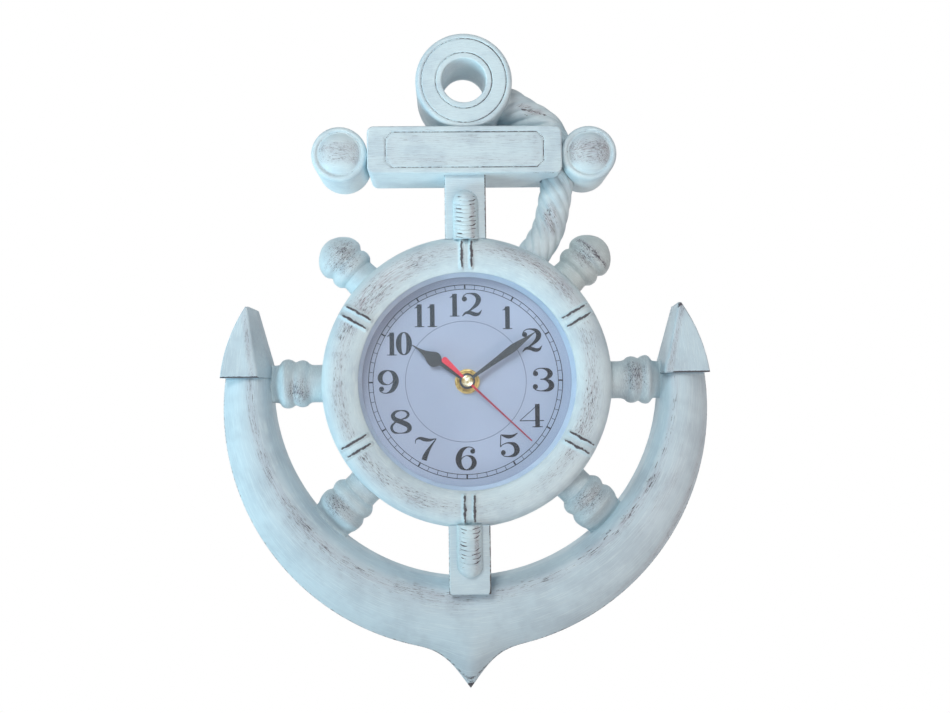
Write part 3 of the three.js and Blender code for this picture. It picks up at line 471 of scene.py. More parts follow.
def makeShank(name, low, high, stands):
    # rectangle from its back's middle, up the side and in over the front: inset along its normal, then shrunk to a
    # share about its middle
    half, bevel, front = shank["half"], shank["bevel"], shank["front"]
    outline = rounded([(-half, low), (half, low), (half, high), (-half, high)], 0.7, 0.7)
    steps = [(0.3, 0.35, share) for share in (0.05, 0.5, 1.0)]
    steps += [(0.0, d, 1.0) for d in np.linspace(0.65, front - bevel, 16)]
    steps += [(inset, d, 1.0) for inset, d in roundEdge(front, bevel, 4)]
    steps += [(bevel, front, share) for share in np.linspace(0.97, 0.03, 16)]
    middle = np.array((0, (low + high) / 2))
    points = stacked([(middle + (outline - inset * normals(outline) - middle) * share, d) for inset, d, share in steps])
    # the shank's white coat is a little darker than the paint: painted shade
    addPiece(name, points, whitewash("shank", ground="#cbdfe7"), stands=stands, marks=shankMarks)


def spindleWave(turn, z):  # phase of the wavy grooves across the spindle, about 2 mm apart
    return 2 * np.pi * (z - 1.3 * (turn / 60) ** 2 + 0.25 * np.sin(z * 1.9 + turn / 20)) / spindle["pitch"]


def spindleMarks(points):  # brown down both flanks, and short strokes in the grooves, each groove its own strength
    x, depth, z = points.T
    turn = np.degrees(np.arctan2(x, depth - shank["front"]))  # 0 on the ridge, 90 at the right foot
    wear = (0.5 * bump(turn, 34, 14) + 0.25 * bump(turn, -50, 12)) * (1 - 0.6 * ramp(np.abs(z), 90, 98))
    groove = 0.5 - 0.5 * np.cos(spindleWave(turn, z))
    some = 0.8 + 0.3 * np.sin(7.3 * np.floor(spindleWave(turn, z) / 2 / np.pi) + np.sign(x))
    strokes = 0.95 * some * ramp(groove, 0.78, 1) * (bump(turn, -34, 24) + bump(turn, 38, 28)) * (np.abs(z) < 99)
    grain = np.stack((turn / 45, z / 0.5, turn / 90), -1)
    return grain, wear, strokes + 0.4 * bump(depth, shank["front"], 0.4) * ramp(x, -2, 4)


def makeSpindle(name, low, high, way, stands):
    # half-round bar from the wheel outwards: radius sqrt(1 - t^2) times full at its rounded end, less the grooves
    length, radius = high - low, spindle["radius"]
    cap = length - radius + radius * np.sin(np.linspace(0, np.pi / 2, 22)[1:-1])
    run = np.concatenate((np.linspace(0, length - radius, 180), cap))
    t = np.clip((run - (length - radius)) / radius, 0, 1)
    turn = np.linspace(-np.pi / 2, np.pi / 2, 61)[:, None]
    z = (low + run if way > 0 else high - run) + 0 * turn
    wave = 0.5 - 0.5 * np.cos(spindleWave(np.degrees(turn), z))
    size = radius * np.sqrt(1 - t ** 2) - spindle["deep"] * wave ** 3 * np.cos(turn) ** 0.3 * (1 - t)
    across = np.vstack((np.sin(turn) * size, [[0.6], [0.0], [-0.6]] * size[:1]))
    depth = shank["front"] + np.vstack((np.cos(turn) * size, -0.12 * size[[0, 0, 0]]))
    points = np.stack((across, depth, np.vstack((z, z[:3]))), -1)
    addPiece(name, points, whitewash("spindle", lines=0.25), stands=stands, marks=spindleMarks)


makeShank("shankUpper", shank["end"], shank["top"], ("shank_upper",))
makeShank("shankLower", shank["foot"], -shank["end"], ("shank_lower",))
makeSpindle("spindleUpper", spindle["end"], spindle["top"], 1, ("spindle_top",))
makeSpindle("spindleLower", spindle["foot"], -spindle["end"], -1, ("spindle_bottom",))
print("balls, shank and spindles made")

# ground and shade here are the white coat of the arms and flukes, a little darker than the paint: painted shade
arms = {"inner": 108.0, "outer": 133.6, "drop": 13.0, "end": 3.3, "edge": 13.0, "innerEdge": 17.0, "crest": 23.0,
        "soft": 5.0, "share": 0.28, "point": 21.8, "flare": 12.6, "ground": "#c9dde6", "shade": "#bccfd9"}


def armsEdge(degrees, soft=0.0):
    # outer radius: a circle whose centre lies lower, and the crown's point as a power curve of the angle from the
    # foot, whose tip is rounded when that angle is sqrt(angle^2 + soft^2)
    toward = -arms["drop"] * np.cos(np.radians(degrees))
    circle = toward + np.sqrt(arms["outer"] ** 2 - arms["drop"] ** 2 + toward ** 2)
    away = np.sqrt((degrees - 180) ** 2 + soft ** 2)
    return circle + arms["point"] * np.maximum(0, 1 - away / arms["flare"]) ** 2.9


def armsMarks(points):  # brown along the crest, over the outer field, on the right rim, the tip and both edges
    x, depth, z = points.T
    radius, angle = np.hypot(x, z), clockAngle(points)
    across = radius - arms["inner"]
    front = ramp(depth, 13.2, 15)
    crest = 0.3 + 0.12 * lobe(angle, 262, 22) + 0.02 * lobe(angle, 205, 26) + 0.16 * lobe(angle, 128, 16)
    crest = crest * bump(across, 7.2 - x / 60, 2.6 + 2 * lobe(angle, 180, 40))
    field = 0.22 * bump(across, 15, 6) * (lobe(angle, 225, 30) + lobe(angle, 120, 22) + 0.7 * lobe(angle, 180, 18))
    rightRim = 0.35 * bump(radius - armsEdge(angle), -2.5, 2.5) * lobe(angle, 125, 30)
    tip = 0.7 * bump(np.hypot(x, z + 166), 0, 3.2)
    edge = 0.52 * bump(depth, 13.0, 1.0) * ramp(across, 8, 12) + 0.3 * bump(depth, 0.4, 0.7) + tip
    edge = edge + 0.4 * bump(np.abs(x) - shank["half"], 0.3, 0.5) * bump(z, -112, 3) * front
    return roundGrain(points, 9.0, 0.5), (crest + field + rightRim) * front, edge


def armsFront(share):  # depth of the front: a crest between two power curves
    inside = np.maximum(0, 1 - share / arms["share"])
    outside = np.maximum(0, (share - arms["share"]) / (1 - arms["share"]))
    drop = (arms["crest"] - arms["innerEdge"]) * inside ** 2 + (arms["crest"] - arms["edge"]) * outside ** 2.6
    return arms["crest"] - drop - arms["soft"] * np.maximum(0, 1 - share / 0.13) ** 2


def makeArms():
    # section carried round the wheel, its radius stretched to the outer edge; the ends lie on the level plane under
    # the flukes, so the angle where a line ends depends on its radius
    inner, end = arms["inner"], arms["end"]
    wide = arms["outer"] - inner
    across = np.linspace(0, 1, 61)
    section = np.vstack((np.column_stack((across * wide, armsFront(across))), [(wide, 0.0)], [(0.0, 0.0)]))
    section = rounded(section, 0.9, 0.62)
    share, depth = section[:, :1] / wide, section[:, 1:]
    along = np.linspace(-1, 1, 361)
    turn = np.sign(along) * np.abs(along) ** 1.15

    def reachAt(degrees):  # radius at that share of the way from the inner edge to the outer
        return inner + share * (armsEdge(degrees) - inner)

    last = 180 - np.degrees(np.arccos(end / reachAt(180 + 90 * turn)))
    last = 180 - np.degrees(np.arccos(end / reachAt(180 + turn * last)[:, [0, -1]])).mean(1, keepdims=True)
    degrees = 180 + turn * last
    reach = reachAt(degrees)
    # the front of the crown follows a rounded point, so that no crease runs down to its tip
    stretch = (armsEdge(degrees) - inner) / (armsEdge(degrees, 1.6) - inner)
    depth = depth * armsFront(share * stretch) / armsFront(share)
    sin, cos = np.sin(np.radians(degrees)), np.cos(np.radians(degrees))
    points = np.stack((reach * sin, depth, np.minimum(reach * cos, end)), -1)
    addPiece("crescentArms", points, whitewash("arms", ground=arms["ground"], shade=arms["shade"]), stands=("arms",),
             marks=armsMarks)


makeArms()

fluke = {
    "base": 3.33, "top": 41.6, "front": 27.0, "round": 1.2, "flat": 1.5, "knee": 9.0, "middle": (119.0, 15.0),
    # left and right: where the inner wall meets the back and the front, at the base and the flat top; widest place
    -1: {"backBase": 107.6, "frontBase": 112.6, "backTop": 116.9, "frontTop": 117.6, "tip": 132.6, "leanFrom": 13.0},
    1: {"backBase": 108.3, "frontBase": 107.2, "backTop": 117.9, "frontTop": 115.6, "tip": 132.0, "leanFrom": 0.0},
}


def flukeMarks(side, points):  # brown beside the inner ridge of the front, brown with painted shadow along the base under its step, and brown round the back's edge
    x, depth, z = side * points[:, 0], points[:, 1], points[:, 2]
    share = (z - fluke["base"]) / (fluke["top"] - fluke["base"])
    ridge = (1 - share) * fluke[side]["frontBase"] + share * fluke[side]["frontTop"]
    front = ramp(depth, 24, 26)
    wear = 0.36 * bump(x, ridge + 2.5, 2.0) + 0.14 * bump(x, ridge + 9, 4) * ramp(share, 0.6, 0)
    # brown paint with painted shadow along the base, where the front steps down to the arms; stronger on the right
    # fluke
    edge = (0.7 if side < 0 else 0.9) * ramp(z, 4.4, 3.8) * ramp(depth, 22, 25) * ramp(x, 110, 113)
    edge = edge + 0.25 * bump(depth, 0.5, 0.8) + 0.16 * bump(x, ridge + 0.5, 0.7) * front
    edge = edge + 0.5 * (side > 0) * bump(np.hypot(x - 117, z - 40), 0, 3) * front
    return flatGrain(points, 8, 0.5, 90 + side * 6), wear * front, edge


def flukeOutline(side, slant, inset):
    # outer curve, flat top, straight inner edge down to a knee and upright below it, and base; the inner edge lies
    # between those of the back and the front by the slant
    own = fluke[side]
    tip, top, base = own["tip"] - inset, fluke["top"] - inset, fluke["base"] + inset
    foot = own["backBase"] + slant * (own["frontBase"] - own["backBase"]) + inset
    apexIn = own["backTop"] + slant * (own["frontTop"] - own["backTop"]) + inset * 0.6
    apexOut = apexIn + max(0.3, fluke["flat"] - inset * 1.2)
    knee = (foot + 0.25 * slant * (apexIn - foot), fluke["knee"] + 3 * slant)
    line = route((tip, base), (((tip + apexOut) / 2 + 4.6, (base + top) / 2 + 1.3), (apexOut, top), 44),
                 ((apexIn, top), 5), (knee, 34), ((foot, knee[1] - 3), (foot, base), 10), ((tip, base), 30))
    return line * (side, 1)


def makeFluke(name, side, stands):
    # outline from the back's middle, up the side, round its edge and in over the front, which rises 0.4 mm to its
    # middle; the inner wall leans as the slant grows with the depth
    front, radius, start = fluke["front"], fluke["round"], fluke[side]["leanFrom"]
    middle = np.array(fluke["middle"]) * (side, 1)
    steps = [(0.0, 0.0, share) for share in (0.04, 0.5, 1.0)]
    steps += [(0.0, d, 1.0) for d in np.linspace(0.6, front - radius, 20)]
    steps += [(inset, d, 1.0) for inset, d in roundEdge(front, radius, 6)]
    steps += [(radius, front, share) for share in np.linspace(0.98, 0.04, 18)]
    rows = []
    for inset, d, share in steps:
        slant = min(max((d - start) / (front - start), 0), 1)
        rows.append((middle + (flukeOutline(side, slant, inset) - middle) * share, d + 0.4 * (d > 1) * (1 - share)))
    addPiece(name, stacked(rows), whitewash(name, ground=arms["ground"], shade=arms["shade"]), stands=stands,
             marks=partial(flukeMarks, side))


makeFluke("flukeLeft", -1, ("fluke_left",))
makeFluke("flukeRight", 1, ("fluke_right",))
print("arms and flukes made")

handle = {
    "axis": 14.0, "neck": 10.4, "seat": 77.0, "arms": 110.0,
    "knobs": {45: 1.0, 315: 0.2},  # spokes whose handle ends in a knob, and how brown its shoulder is
    "low": 8.0, "press": 0.72, "pressFrom": 98.0, "pressTo": 108.4,  # how an end sinks into the arms
    "knob": [(9.9, 83.6), (10.4, 84.9), (11.8, 86.6), (12.4, 88.9), (12.1, 91.0), (11.2, 92.5), (11.6, 93.7),
             (12.8, 95.3), (13.2, 97.3), (12.8, 99.7), (11.9, 101.9), (10.2, 104.2), (7.7, 106.5), (4.2, 108.5),
             (0.5, 109.4)],
    "beads": [(11.0, 85.2), (12.3, 86.8), (12.9, 88.7), (12.7, 90.6), (11.9, 92.6), (12.2, 93.6), (13.1, 95.1),
              (13.5, 97.2)],
    "slopeEnd": [(13.3, 99.5), (12.8, 101.7), (12.3, 103.0), (12.0, 104.4), (11.9, 106.5), (11.8, 109.4)],
    "levelEnd": [(12.9, 100.7), (11.4, 102.2), (10.6, 103.1), (10.4, 104.2), (10.3, 105.3), (10.3, 107.0),
                 (10.2, 109.4)],
    "further": {90: 1.9, 270: 1.0},  # the level pair has its beads further out, and a drum beyond them
    # coat is the white of the handles that run to the arms, knobCoats that of the knobs: darker and greyer than the
    # paint as painted shade, the NW knob keeping the paint's own
    "blush": "#92909a", "brown": "#34313b", "coat": ("#c3d5db", "#b5c7cf"),
    "knobCoats": {45: ("#c6d4d5", "#b9c8ca"), 315: (paint["ground"], paint["shade"])},
    "wear": {  # where the brown lies: distance out, degrees round the handle, how far each way, and how much
        45: (94.5, -12, 6.5, 40, 0.9), 90: (91.5, -10, 7, 45, 0.7), 135: (91.0, 0, 6, 50, 0.66),
        225: (96.5, 12, 7, 50, 0.62), 270: (90.5, -26, 6, 38, 0.85), 315: (95.5, 10, 10, 52, 0.7)},
}


def handleMarks(degrees, points):  # one patch of brown on the front, and a line across the knob's shoulder
    sin, cos = sinCos(degrees)
    out = points[:, 0] * sin + points[:, 2] * cos
    side = points[:, 0] * cos - points[:, 2] * sin
    turn = np.arctan2(side, points[:, 1] - handle["axis"])
    far, way, farHalf, wayHalf, much = handle["wear"][degrees]
    front = ramp(np.cos(turn), 0.15, 0.8)
    wear = front * much * bump(out, far, farHalf) * bump(np.degrees(turn), way, wayHalf)
    shoulder = bump(out, 98.3, 1.1) * front * handle["knobs"].get(degrees, 0)
    grain = np.stack((4 * np.sin(turn), 4 * np.cos(turn), out / 0.5), -1)
    return grain, wear + 0.8 * shoulder, 0.3 * bump(out, 79.2, 0.7) + 0.5 * shoulder


def makeHandle(name, degrees, stands):
    # (radius, distance) curve turned about a spoke; one that runs to the arms has its front pressed down to the
    # height of their inner edge
    neck, further = handle["neck"], handle["further"].get(degrees, 0)
    line = [(neck, handle["seat"])]
    if degrees in handle["knobs"]:
        line += handle["knob"]
    else:
        line += [(neck - 0.1, 84.0)] + [(radius, out + further) for radius, out in handle["beads"]]
        line += handle["levelEnd" if further else "slopeEnd"] + [(1.0, handle["arms"])]
    radius, out = throughPoints(line, 8).T
    turn = (np.arange(120) / 120 * 2 * np.pi)[:, None]
    points = alongSpoke(out + 0 * turn, radius * np.cos(turn), handle["axis"] + radius * np.sin(turn), degrees)
    if degrees not in handle["knobs"]:
        high = np.maximum(points[..., 1] - handle["low"], 0)
        points[..., 1] -= high * handle["press"] * ramp(out, handle["pressFrom"], handle["pressTo"])
    ground, shade = handle["knobCoats"].get(degrees, handle["coat"])
    finish = whitewash(name, ground=ground, shade=shade, blush=handle["blush"], brown=handle["brown"])
    addPiece(name, points, finish, stands=stands, marks=partial(handleMarks, degrees))


for where, degrees in {"ne": 45, "e": 90, "se": 135, "sw": 225, "w": 270, "nw": 315}.items():
    makeHandle("handle" + where.upper(), degrees, ("handle_" + where,))
print("handles made")

# ground and shade here are the rope's white coat, lighter than the paint: painted light that lifts its shade behind the
# beam
rope = {"radius": 9.2, "depth": 13.5, "lay": 62.0, "strands": 8, "groove": 0.95, "ground": "#d6e8ee",
        "shade": "#c2d4dc",
        "places": [(15.0, 156.0), (25.5, 153.0), (34.0, 149.0), (41.2, 145.2), (46.0, 141.6), (50.3, 133.6),
                   (52.2, 120.0), (50.9, 104.0), (47.0, 86.0), (42.0, 76.0), (36.0, 68.0)]}
ropeLine = walk(throughPoints(rope["places"], 24), 0.45, closed=False)
ropeRun = np.concatenate(([0.0], np.cumsum(np.linalg.norm(np.diff(ropeLine, axis=0), axis=1))))
ropeSize = rope["radius"] + 2.1 * bump(ropeRun, 5, 13)  # thicker where it leaves the ring


def ropeSweep(radius, turns, line):  # circle of that radius across the line, in its plane and towards the front
    ahead = unit(np.gradient(line, axis=0))
    across = radius * np.cos(turns)[:, None] + 0 * line[:, 0]
    depth = rope["depth"] + radius * np.sin(turns)[:, None] + 0 * line[:, 0]
    return np.stack((line[:, 0] + across * ahead[:, 1], depth, line[:, 1] - across * ahead[:, 0]), -1)


def makeRope():
    # swept circle whose radius sinks between the strands, where |cos(phase)| is 0; the phase turns with the lay
    turns = np.linspace(0, 2 * np.pi, 112, endpoint=False)
    phase = rope["strands"] * (turns[:, None] / 2 - np.pi * ropeRun / rope["lay"])
    strand = np.abs(np.cos(phase)) ** 0.8
    points = ropeSweep(ropeSize - rope["groove"] * (1 - strand), turns, ropeLine)

    def marks(flat):  # brown on the strands' tops at two places, thin streaks along both, and brown in the grooves
        x, depth, z = points.reshape(-1, 3).T
        top = strand.ravel()
        grain = np.stack((phase / np.pi * 2, np.sin(turns)[:, None] * 2 + ropeRun / 5.2, phase / np.pi * 9), -1)
        places = 1.0 * bump(z + 0.3 * x, 160.5, 2.4) * bump(x, 38, 7) + 0.85 * bump(z, 88, 8) * bump(x, 47, 4)
        wear = places * ramp(depth, 17, 21) * (0.3 + 0.7 * top)
        streaks = np.max((bump(z + 0.22 * x, 156.9, 0.9) * ramp(x, 29, 33) * ramp(x, 49, 43),
                          0.8 * bump(z + 0.22 * x, 154.0, 0.7) * ramp(x, 30, 33) * ramp(x, 41, 36),
                          0.8 * bump(z, 92, 4) * bump(x - 0.5 * (92 - z), 46.5, 1.2)), 0)
        edge = 0.16 * (1 - top) ** 2 + 0.54 * streaks * ramp(depth, 17, 20)
        poles = np.zeros(len(flat) - len(x))
        return np.vstack((grain.reshape(-1, 3), np.zeros((2, 3)))), np.append(wear, poles), np.append(edge, poles)

    addPiece("mouldedRope", points, whitewash("rope", ground=rope["ground"], shade=rope["shade"]), stands=("rope",),
             marks=marks)


makeRope()
print("rope made")

# the rope's room in the beam and the right ball, and the hanger's and the nail's in the beam's back
rooms = {"gap": 0.2, "hanger": ((-22.3, -5.0, 116.4), (22.3, 1.2, 132.0)),
         "nail": ((-7.0, -5.0, 117.7), (7.0, 8.0, 130.7))}


def boxPoints(low, high):  # a box as a grid that closes around: four corners, two heights
    (x0, d0, z0), (x1, d1, z1) = low, high
    corners = np.array(((x0, d0), (x1, d0), (x1, d1), (x0, d1)))
    return np.stack([np.column_stack((corners, np.full(4, z))) for z in (z0, z1)], 1)


def cutAway(piece, cutters):  # exact Boolean difference, applied
    for points in cutters:
        tool = bpy.data.objects.new("cutter", closedMesh("cutter", [points]))
        bpy.context.scene.collection.objects.link(tool)
        change = piece.modifiers.new("cut", "BOOLEAN")
        change.operation, change.solver, change.object = "DIFFERENCE", "EXACT", tool
        seen = bpy.context.evaluated_depsgraph_get()
        result = bpy.data.meshes.new_from_object(piece.evaluated_get(seen), depsgraph=seen)
        piece.modifiers.clear()
        old, piece.data = piece.data, result
        result.name = piece.name
        bpy.data.meshes.remove(old)
        bpy.data.objects.remove(tool)


ropeRoom = ropeSweep(ropeSize[::6] + rooms["gap"], np.linspace(0, 2 * np.pi, 40, endpoint=False), ropeLine[::6])
cutAway(crossBeam, (ropeRoom, boxPoints(*rooms["hanger"]), boxPoints(*rooms["nail"])))
cutAway(ballRight, (ropeRoom,))
print("rope and hanger rooms cut")

hands = {  # degrees on the dial, back and front of each plate, fold, and (distance, half width) along it
    "hourHub": (4.25, 23.4, 23.95), "minuteHub": (4.1, 24.75, 25.35),  # radius, back and front
    "hour": (304.0, 23.4, 23.9, 0.0, [
        (-2.0, 1.25), (3.0, 1.25), (10.0, 1.15), (16.6, 1.1), (17.6, 1.7), (18.8, 3.0), (20.4, 3.95), (22.0, 4.05),
        (23.8, 3.45), (25.6, 2.45), (27.6, 1.55), (30.0, 0.9), (32.6, 0.5), (35.6, 0.28)]),
    "minute": (54.8, 24.8, 25.3, 0.0, [
        (-2.0, 0.8), (4.0, 0.85), (12.0, 1.15), (20.0, 1.55), (27.0, 2.0), (30.5, 2.15), (34.0, 1.75), (38.0, 1.15),
        (42.0, 0.6), (45.3, 0.18)]),
    "second": (133.5, 26.0, 26.3, 0.1, [(1.0, 0.62), (10.0, 0.55), (25.0, 0.46), (40.0, 0.4), (47.3, 0.34)]),
    "tail": (133.5, 26.0, 26.35, 0.0, [
        (-18.2, 0.4), (-18.0, 1.05), (-17.4, 1.5), (-16.4, 1.7), (-12.0, 1.35), (-6.0, 0.85), (0.0, 0.6)])}


def bar(degrees, low, high, fold, widths, bevel=0.12):
    # plate along a spoke: half width is a curve through (distance, half width); section with small bevels and a
    # ridge or fold along its middle
    out, half = throughPoints(widths, 14).T
    section = np.array(((-1, low, 0), (1, low, 0), (1, high - bevel, 0), (1, high, -bevel), (0, high + fold, 0),
                        (-1, high, -bevel), (-1, high - bevel, 0)))
    side = section[:, :1] * np.maximum(np.maximum(half, 0.06) + section[:, 2:], 0.03)
    return alongSpoke(out, side, section[:, 1:2] + 0 * side, degrees)


def disc(radius, low, high, bevel=0.15):  # plate turned about the axis, with a rounded front edge
    return turned(route((0.2, low), ((radius, low), 4), ((radius, high - bevel), 3),
                        ((radius, high), (radius - bevel, high), 4), ((0.2, high), 6)), 72)


def enamel(name, color, deep, shadow=None):
    # Stamped aluminium hands with sprayed enamel: smooth, semi-gloss, with faint spray mottle; with a shadow colour
    # given, a painted shade towards lower right
    m, add, place = newMaterial(name)
    spray = add("TexNoise", place, 900.0, 2.0)
    color = add("Mix", add("Math", spray, 0.5, operation="MULTIPLY"), color, deep)
    if shadow:  # painted shade: towards lower right, where x - z grows from 0.128 m at the centre, the colour is darker
        parts = add("SeparateXYZ", place)
        paintedLightSlope = add("Math", parts.outputs["X"], parts.outputs["Z"], operation="SUBTRACT")
        color = add("Mix", add("MapRange", paintedLightSlope, nailHeight / 1000 + 0.004, nailHeight / 1000 + 0.014), color, shadow)
    add("OutputMaterial", add("BsdfPrincipled", Roughness=0.38, Base_Color=color,
                              Normal=add("Bump", 0.15, 0.0001, Height=spray)))
    return m


black = enamel("Black enamel on stamped aluminium", "#26323a", "#151d23")
red = enamel("Red enamel on stamped aluminium", "#d3243f", "#b0122f", "#960f36")
for name, grids, finish in (("hour", [bar(*hands["hour"]), disc(*hands["hourHub"])], black),
                            ("minute", [bar(*hands["minute"]), disc(*hands["minuteHub"])], black),
                            ("second", [bar(*hands["second"]), bar(*hands["tail"])], red)):
    addPiece(name + "Hand", grids, finish, name, (name + "_hand",), "red_hand" if finish is red else "black_hand",
             smooth=False)
print("hands made")

dial = {"face": 20.0, "printX": -0.7, "ink": 0.05, "sunk": 0.01,  # the print's middle, height and hidden back
        "tracks": ((52.88, 0.2), (50.5, 0.18), (32.94, 0.1)),  # radius and half width
        "ticks": (50.5, 52.88), "tickHalf": (0.42, 0.15)}
numeral = {  # drawn 162 units tall, about their own middles
    "height": 12.6, "units": 162.0, "bold": 1.08,
    "places": {"12": (-0.5, 41.9), "1": (22.4, 34.7), "2": (35.7, 22.0), "3": (41.5, 0.4), "4": (35.0, -19.1),
               "5": (22.7, -35.0), "6": (-1.1, -41.9), "7": (-23.0, -36.2), "8": (-36.4, -21.5),
               "9": (-43.0, 0.3), "10": (-36.6, 21.0), "11": (-22.3, 36.3)},
    "spread": {"10": (-55, 30), "11": (-44, 46), "12": (-76, 45)}}
strokes = {  # each stroke runs through (x, z, half width); a stroke of one place is a ball
    "1": [[(1, 78, 15), (1, 0, 15), (1, -78, 15)], [(-33, 52, 2), (-20, 57, 4), (-8, 66, 7), (8, 79, 2)],
          [(-33, -79, 2.5), (1, -79, 3.5), (35, -79, 2.5)]],
    "2": [[(-51, 41, 18)],
          [(-63, 52, 3), (-54, 66, 3), (-34, 78, 3), (-4, 79, 5), (30, 68, 12), (48, 40, 17), (37, 6, 14),
           (7, -24, 8), (-33, -54, 4), (-66, -78, 3)],
          [(-67, -80, 2.5), (-43, -58, 8), (-10, -57, 12), (22, -68, 13), (50, -64, 9), (70, -38, 2)]],
    "3": [[(-53, 43, 18)], [(-56, -49, 18)],
          [(-67, 52, 3), (-56, 66, 3), (-32, 78, 3), (0, 79, 4), (34, 67, 12), (50, 42, 17), (36, 18, 12), (8, 6, 4),
           (-20, 3, 2.5)],
          [(-20, 3, 2.5), (16, 0, 6), (50, -20, 15), (58, -46, 18), (38, -70, 12), (-4, -79, 4), (-42, -75, 3),
           (-70, -58, 3)]],
    "4": [[(50, 82, 2), (-16, 24, 2.4), (-84, -34, 2)], [(-85, -36, 3), (0, -36, 3), (85, -36, 3)],
          [(39, 80, 15), (39, 0, 15), (39, -78, 15)], [(2, -79, 2.5), (39, -79, 3.5), (76, -79, 2.5)]],
    "5": [[(-46, -51, 17)], [(-62, 74, 2), (-36, 65, 9), (-6, 59, 12), (26, 66, 8), (56, 84, 2)],
          [(-62, 72, 3), (-64, 30, 3), (-66, -12, 3)],
          [(-66, -12, 3), (-46, 6, 3), (-8, 16, 5), (34, 2, 14), (50, -34, 18), (34, -66, 12), (-6, -79, 4),
           (-40, -75, 3), (-61, -58, 3)]],
    "6": [[(46, 50, 17)],
          [(61, 58, 3), (42, 75, 3), (8, 79, 4), (-32, 54, 14), (-54, -2, 19), (-40, -55, 14), (-2, -78, 4),
           (38, -64, 12), (56, -30, 16), (42, 6, 11), (6, 20, 3), (-24, 8, 3), (-40, -18, 2)]],
    "7": [[(-72, 36, 2), (-70, 56, 3), (-60, 68, 5), (-38, 73, 9), (-8, 64, 12), (28, 59, 9), (60, 66, 4),
           (76, 68, 2)], [(73, 66, 3), (46, 30, 6), (18, -12, 11), (-2, -50, 16), (-12, -80, 17)]],
    "8": [[(2, 79, 3), (-34, 70, 8), (-54, 43, 13), (-36, 16, 15), (12, -4, 16), (52, -26, 16), (60, -52, 14),
           (38, -73, 7), (-2, -79, 3), (-46, -72, 7), (-64, -40, 9), (-46, -10, 6), (0, 14, 3), (40, 30, 7),
           (53, 52, 9), (36, 73, 6), (2, 79, 3)]],
}


def inkDepth(lift):  # back and front of the print: just in the card, and an ink's thickness and a lift before it
    return dial["face"] + dial["sunk"], dial["face"] + dial["ink"] + lift


def strokeGrid(places, middle, lift):  # ribbon: the centre line shifted by its half width each way, made a thin slab
    size = numeral["height"] / numeral["units"]
    low, high = inkDepth(lift)
    if len(places) == 1:  # a ball stands a little higher than the strokes
        x, z, radius = np.array(places[0]) * size
        high += dial["sunk"]
        profile = np.array(((radius * 0.2, low), (radius, low), (radius, high), (radius * 0.2, high)))
        return turned(profile, 40, (middle[0] + x, middle[1] + z))
    line = throughPoints(places, 16) * size
    ahead = unit(np.gradient(line[:, :2], axis=0))
    sides = np.array((1.0, 1.0, -1.0, -1.0))[:, None] * line[:, 2] * numeral["bold"]
    x = middle[0] + line[:, 0] - sides * ahead[:, 1]
    z = middle[1] + line[:, 1] + sides * ahead[:, 0]
    return np.stack((x, np.array((low, high, high, low))[:, None] + 0 * x, z), -1)


def digitStrokes(digit):  # a nine is a six turned half round, a nought an ellipse that is thick at its sides
    if digit == "9":
        return [[(-x, -z, half) for x, z, half in stroke] for stroke in strokes["6"]]
    if digit == "0":
        turn = np.linspace(-0.5, 1.52, 34) * np.pi
        return [np.column_stack((37 * np.cos(turn), 78 * np.sin(turn), 3 + 15 * np.abs(np.cos(turn)) ** 1.6))]
    return strokes[digit]


def numeralGrids(label, x, z):  # its digits' strokes beside each other, each a little higher than the one before
    size = numeral["height"] / numeral["units"]
    return [strokeGrid(stroke, (x + shift * size, z), 0.004 * k)
            for digit, shift in zip(label, numeral["spread"].get(label, (0,)))
            for k, stroke in enumerate(digitStrokes(digit))]


def hoop(radius, half, lift):  # thin flat printed circle
    low, high = inkDepth(lift)
    profile = np.array(((radius - half, low), (radius + half, low), (radius + half, high), (radius - half, high)))
    return turned(profile, 360, (dial["printX"], 0.0))


def tick(minute):  # thin flat printed bar along a spoke, broad at each fifth minute
    low, high = inkDepth(0.01)
    half = dial["tickHalf"][minute % 5 > 0]
    out = np.array(dial["ticks"])
    depth = np.array((low, high, high, low))[:, None] + 0 * out
    side = np.array((half, half, -half, -half))[:, None]
    return alongSpoke(out, side, depth, 6 * minute) + (dial["printX"], 0, 0)


def printedInk():
    # Screen-printed ink on card, with a painted lens reflection: slate grey over most of the dial, near black low on
    # the right
    m, add, place = newMaterial("Screen-printed black ink")
    parts = add("SeparateXYZ", place)
    paintedLightSlope = add("Math", parts.outputs["X"], parts.outputs["Z"], operation="SUBTRACT")
    # painted lens reflection: grey where x - z is small, near black towards lower right
    color = add("Mix", add("MapRange", paintedLightSlope, 0.09, 0.175), "#28343d", "#080c18")
    spots = add("Math", add("TexNoise", place, 700.0, 2.0), 0.1, operation="MULTIPLY")
    add("OutputMaterial", add("BsdfPrincipled", Roughness=0.6, Specular_IOR_Level=0.1,
                              Base_Color=add("Mix", spots, color, "#5b6a78")))
    return m


def dialCard():
    # Printed card behind the lens: satin coated paper, pale lavender, darkened as painted shade of the recess behind
    # the lens, with faint cloudiness and fibre
    m, add, place = newMaterial("Coated dial card")
    cloud, fibre = add("TexNoise", place, 22.0, 2.0), add("TexNoise", place, 1500.0, 3.0)
    color = add("Mix", add("MapRange", cloud, 0.35, 0.65), "#99a6ba", "#929fb3")
    color = add("Mix", add("Math", fibre, 0.12, operation="MULTIPLY"), color, "#8d98b0")
    add("OutputMaterial", add("BsdfPrincipled", Roughness=0.6, Base_Color=color,
                              Normal=add("Bump", 0.1, 0.0001, Height=fibre)))
    return m


ink, card = printedInk(), dialCard()
prints = {"minuteTrack": [hoop(radius, half, 0.001 * k) for k, (radius, half) in enumerate(dial["tracks"])],
          "minuteTicks": [tick(minute) for minute in range(60)]}
for label, place in numeral["places"].items():
    prints["numeral" + label] = numeralGrids(label, *place)
for name, grids in prints.items():
    addPiece(name, grids, ink, slot="dial_paper", ring=name == "minuteTrack", smooth=False)
print("dial printed")


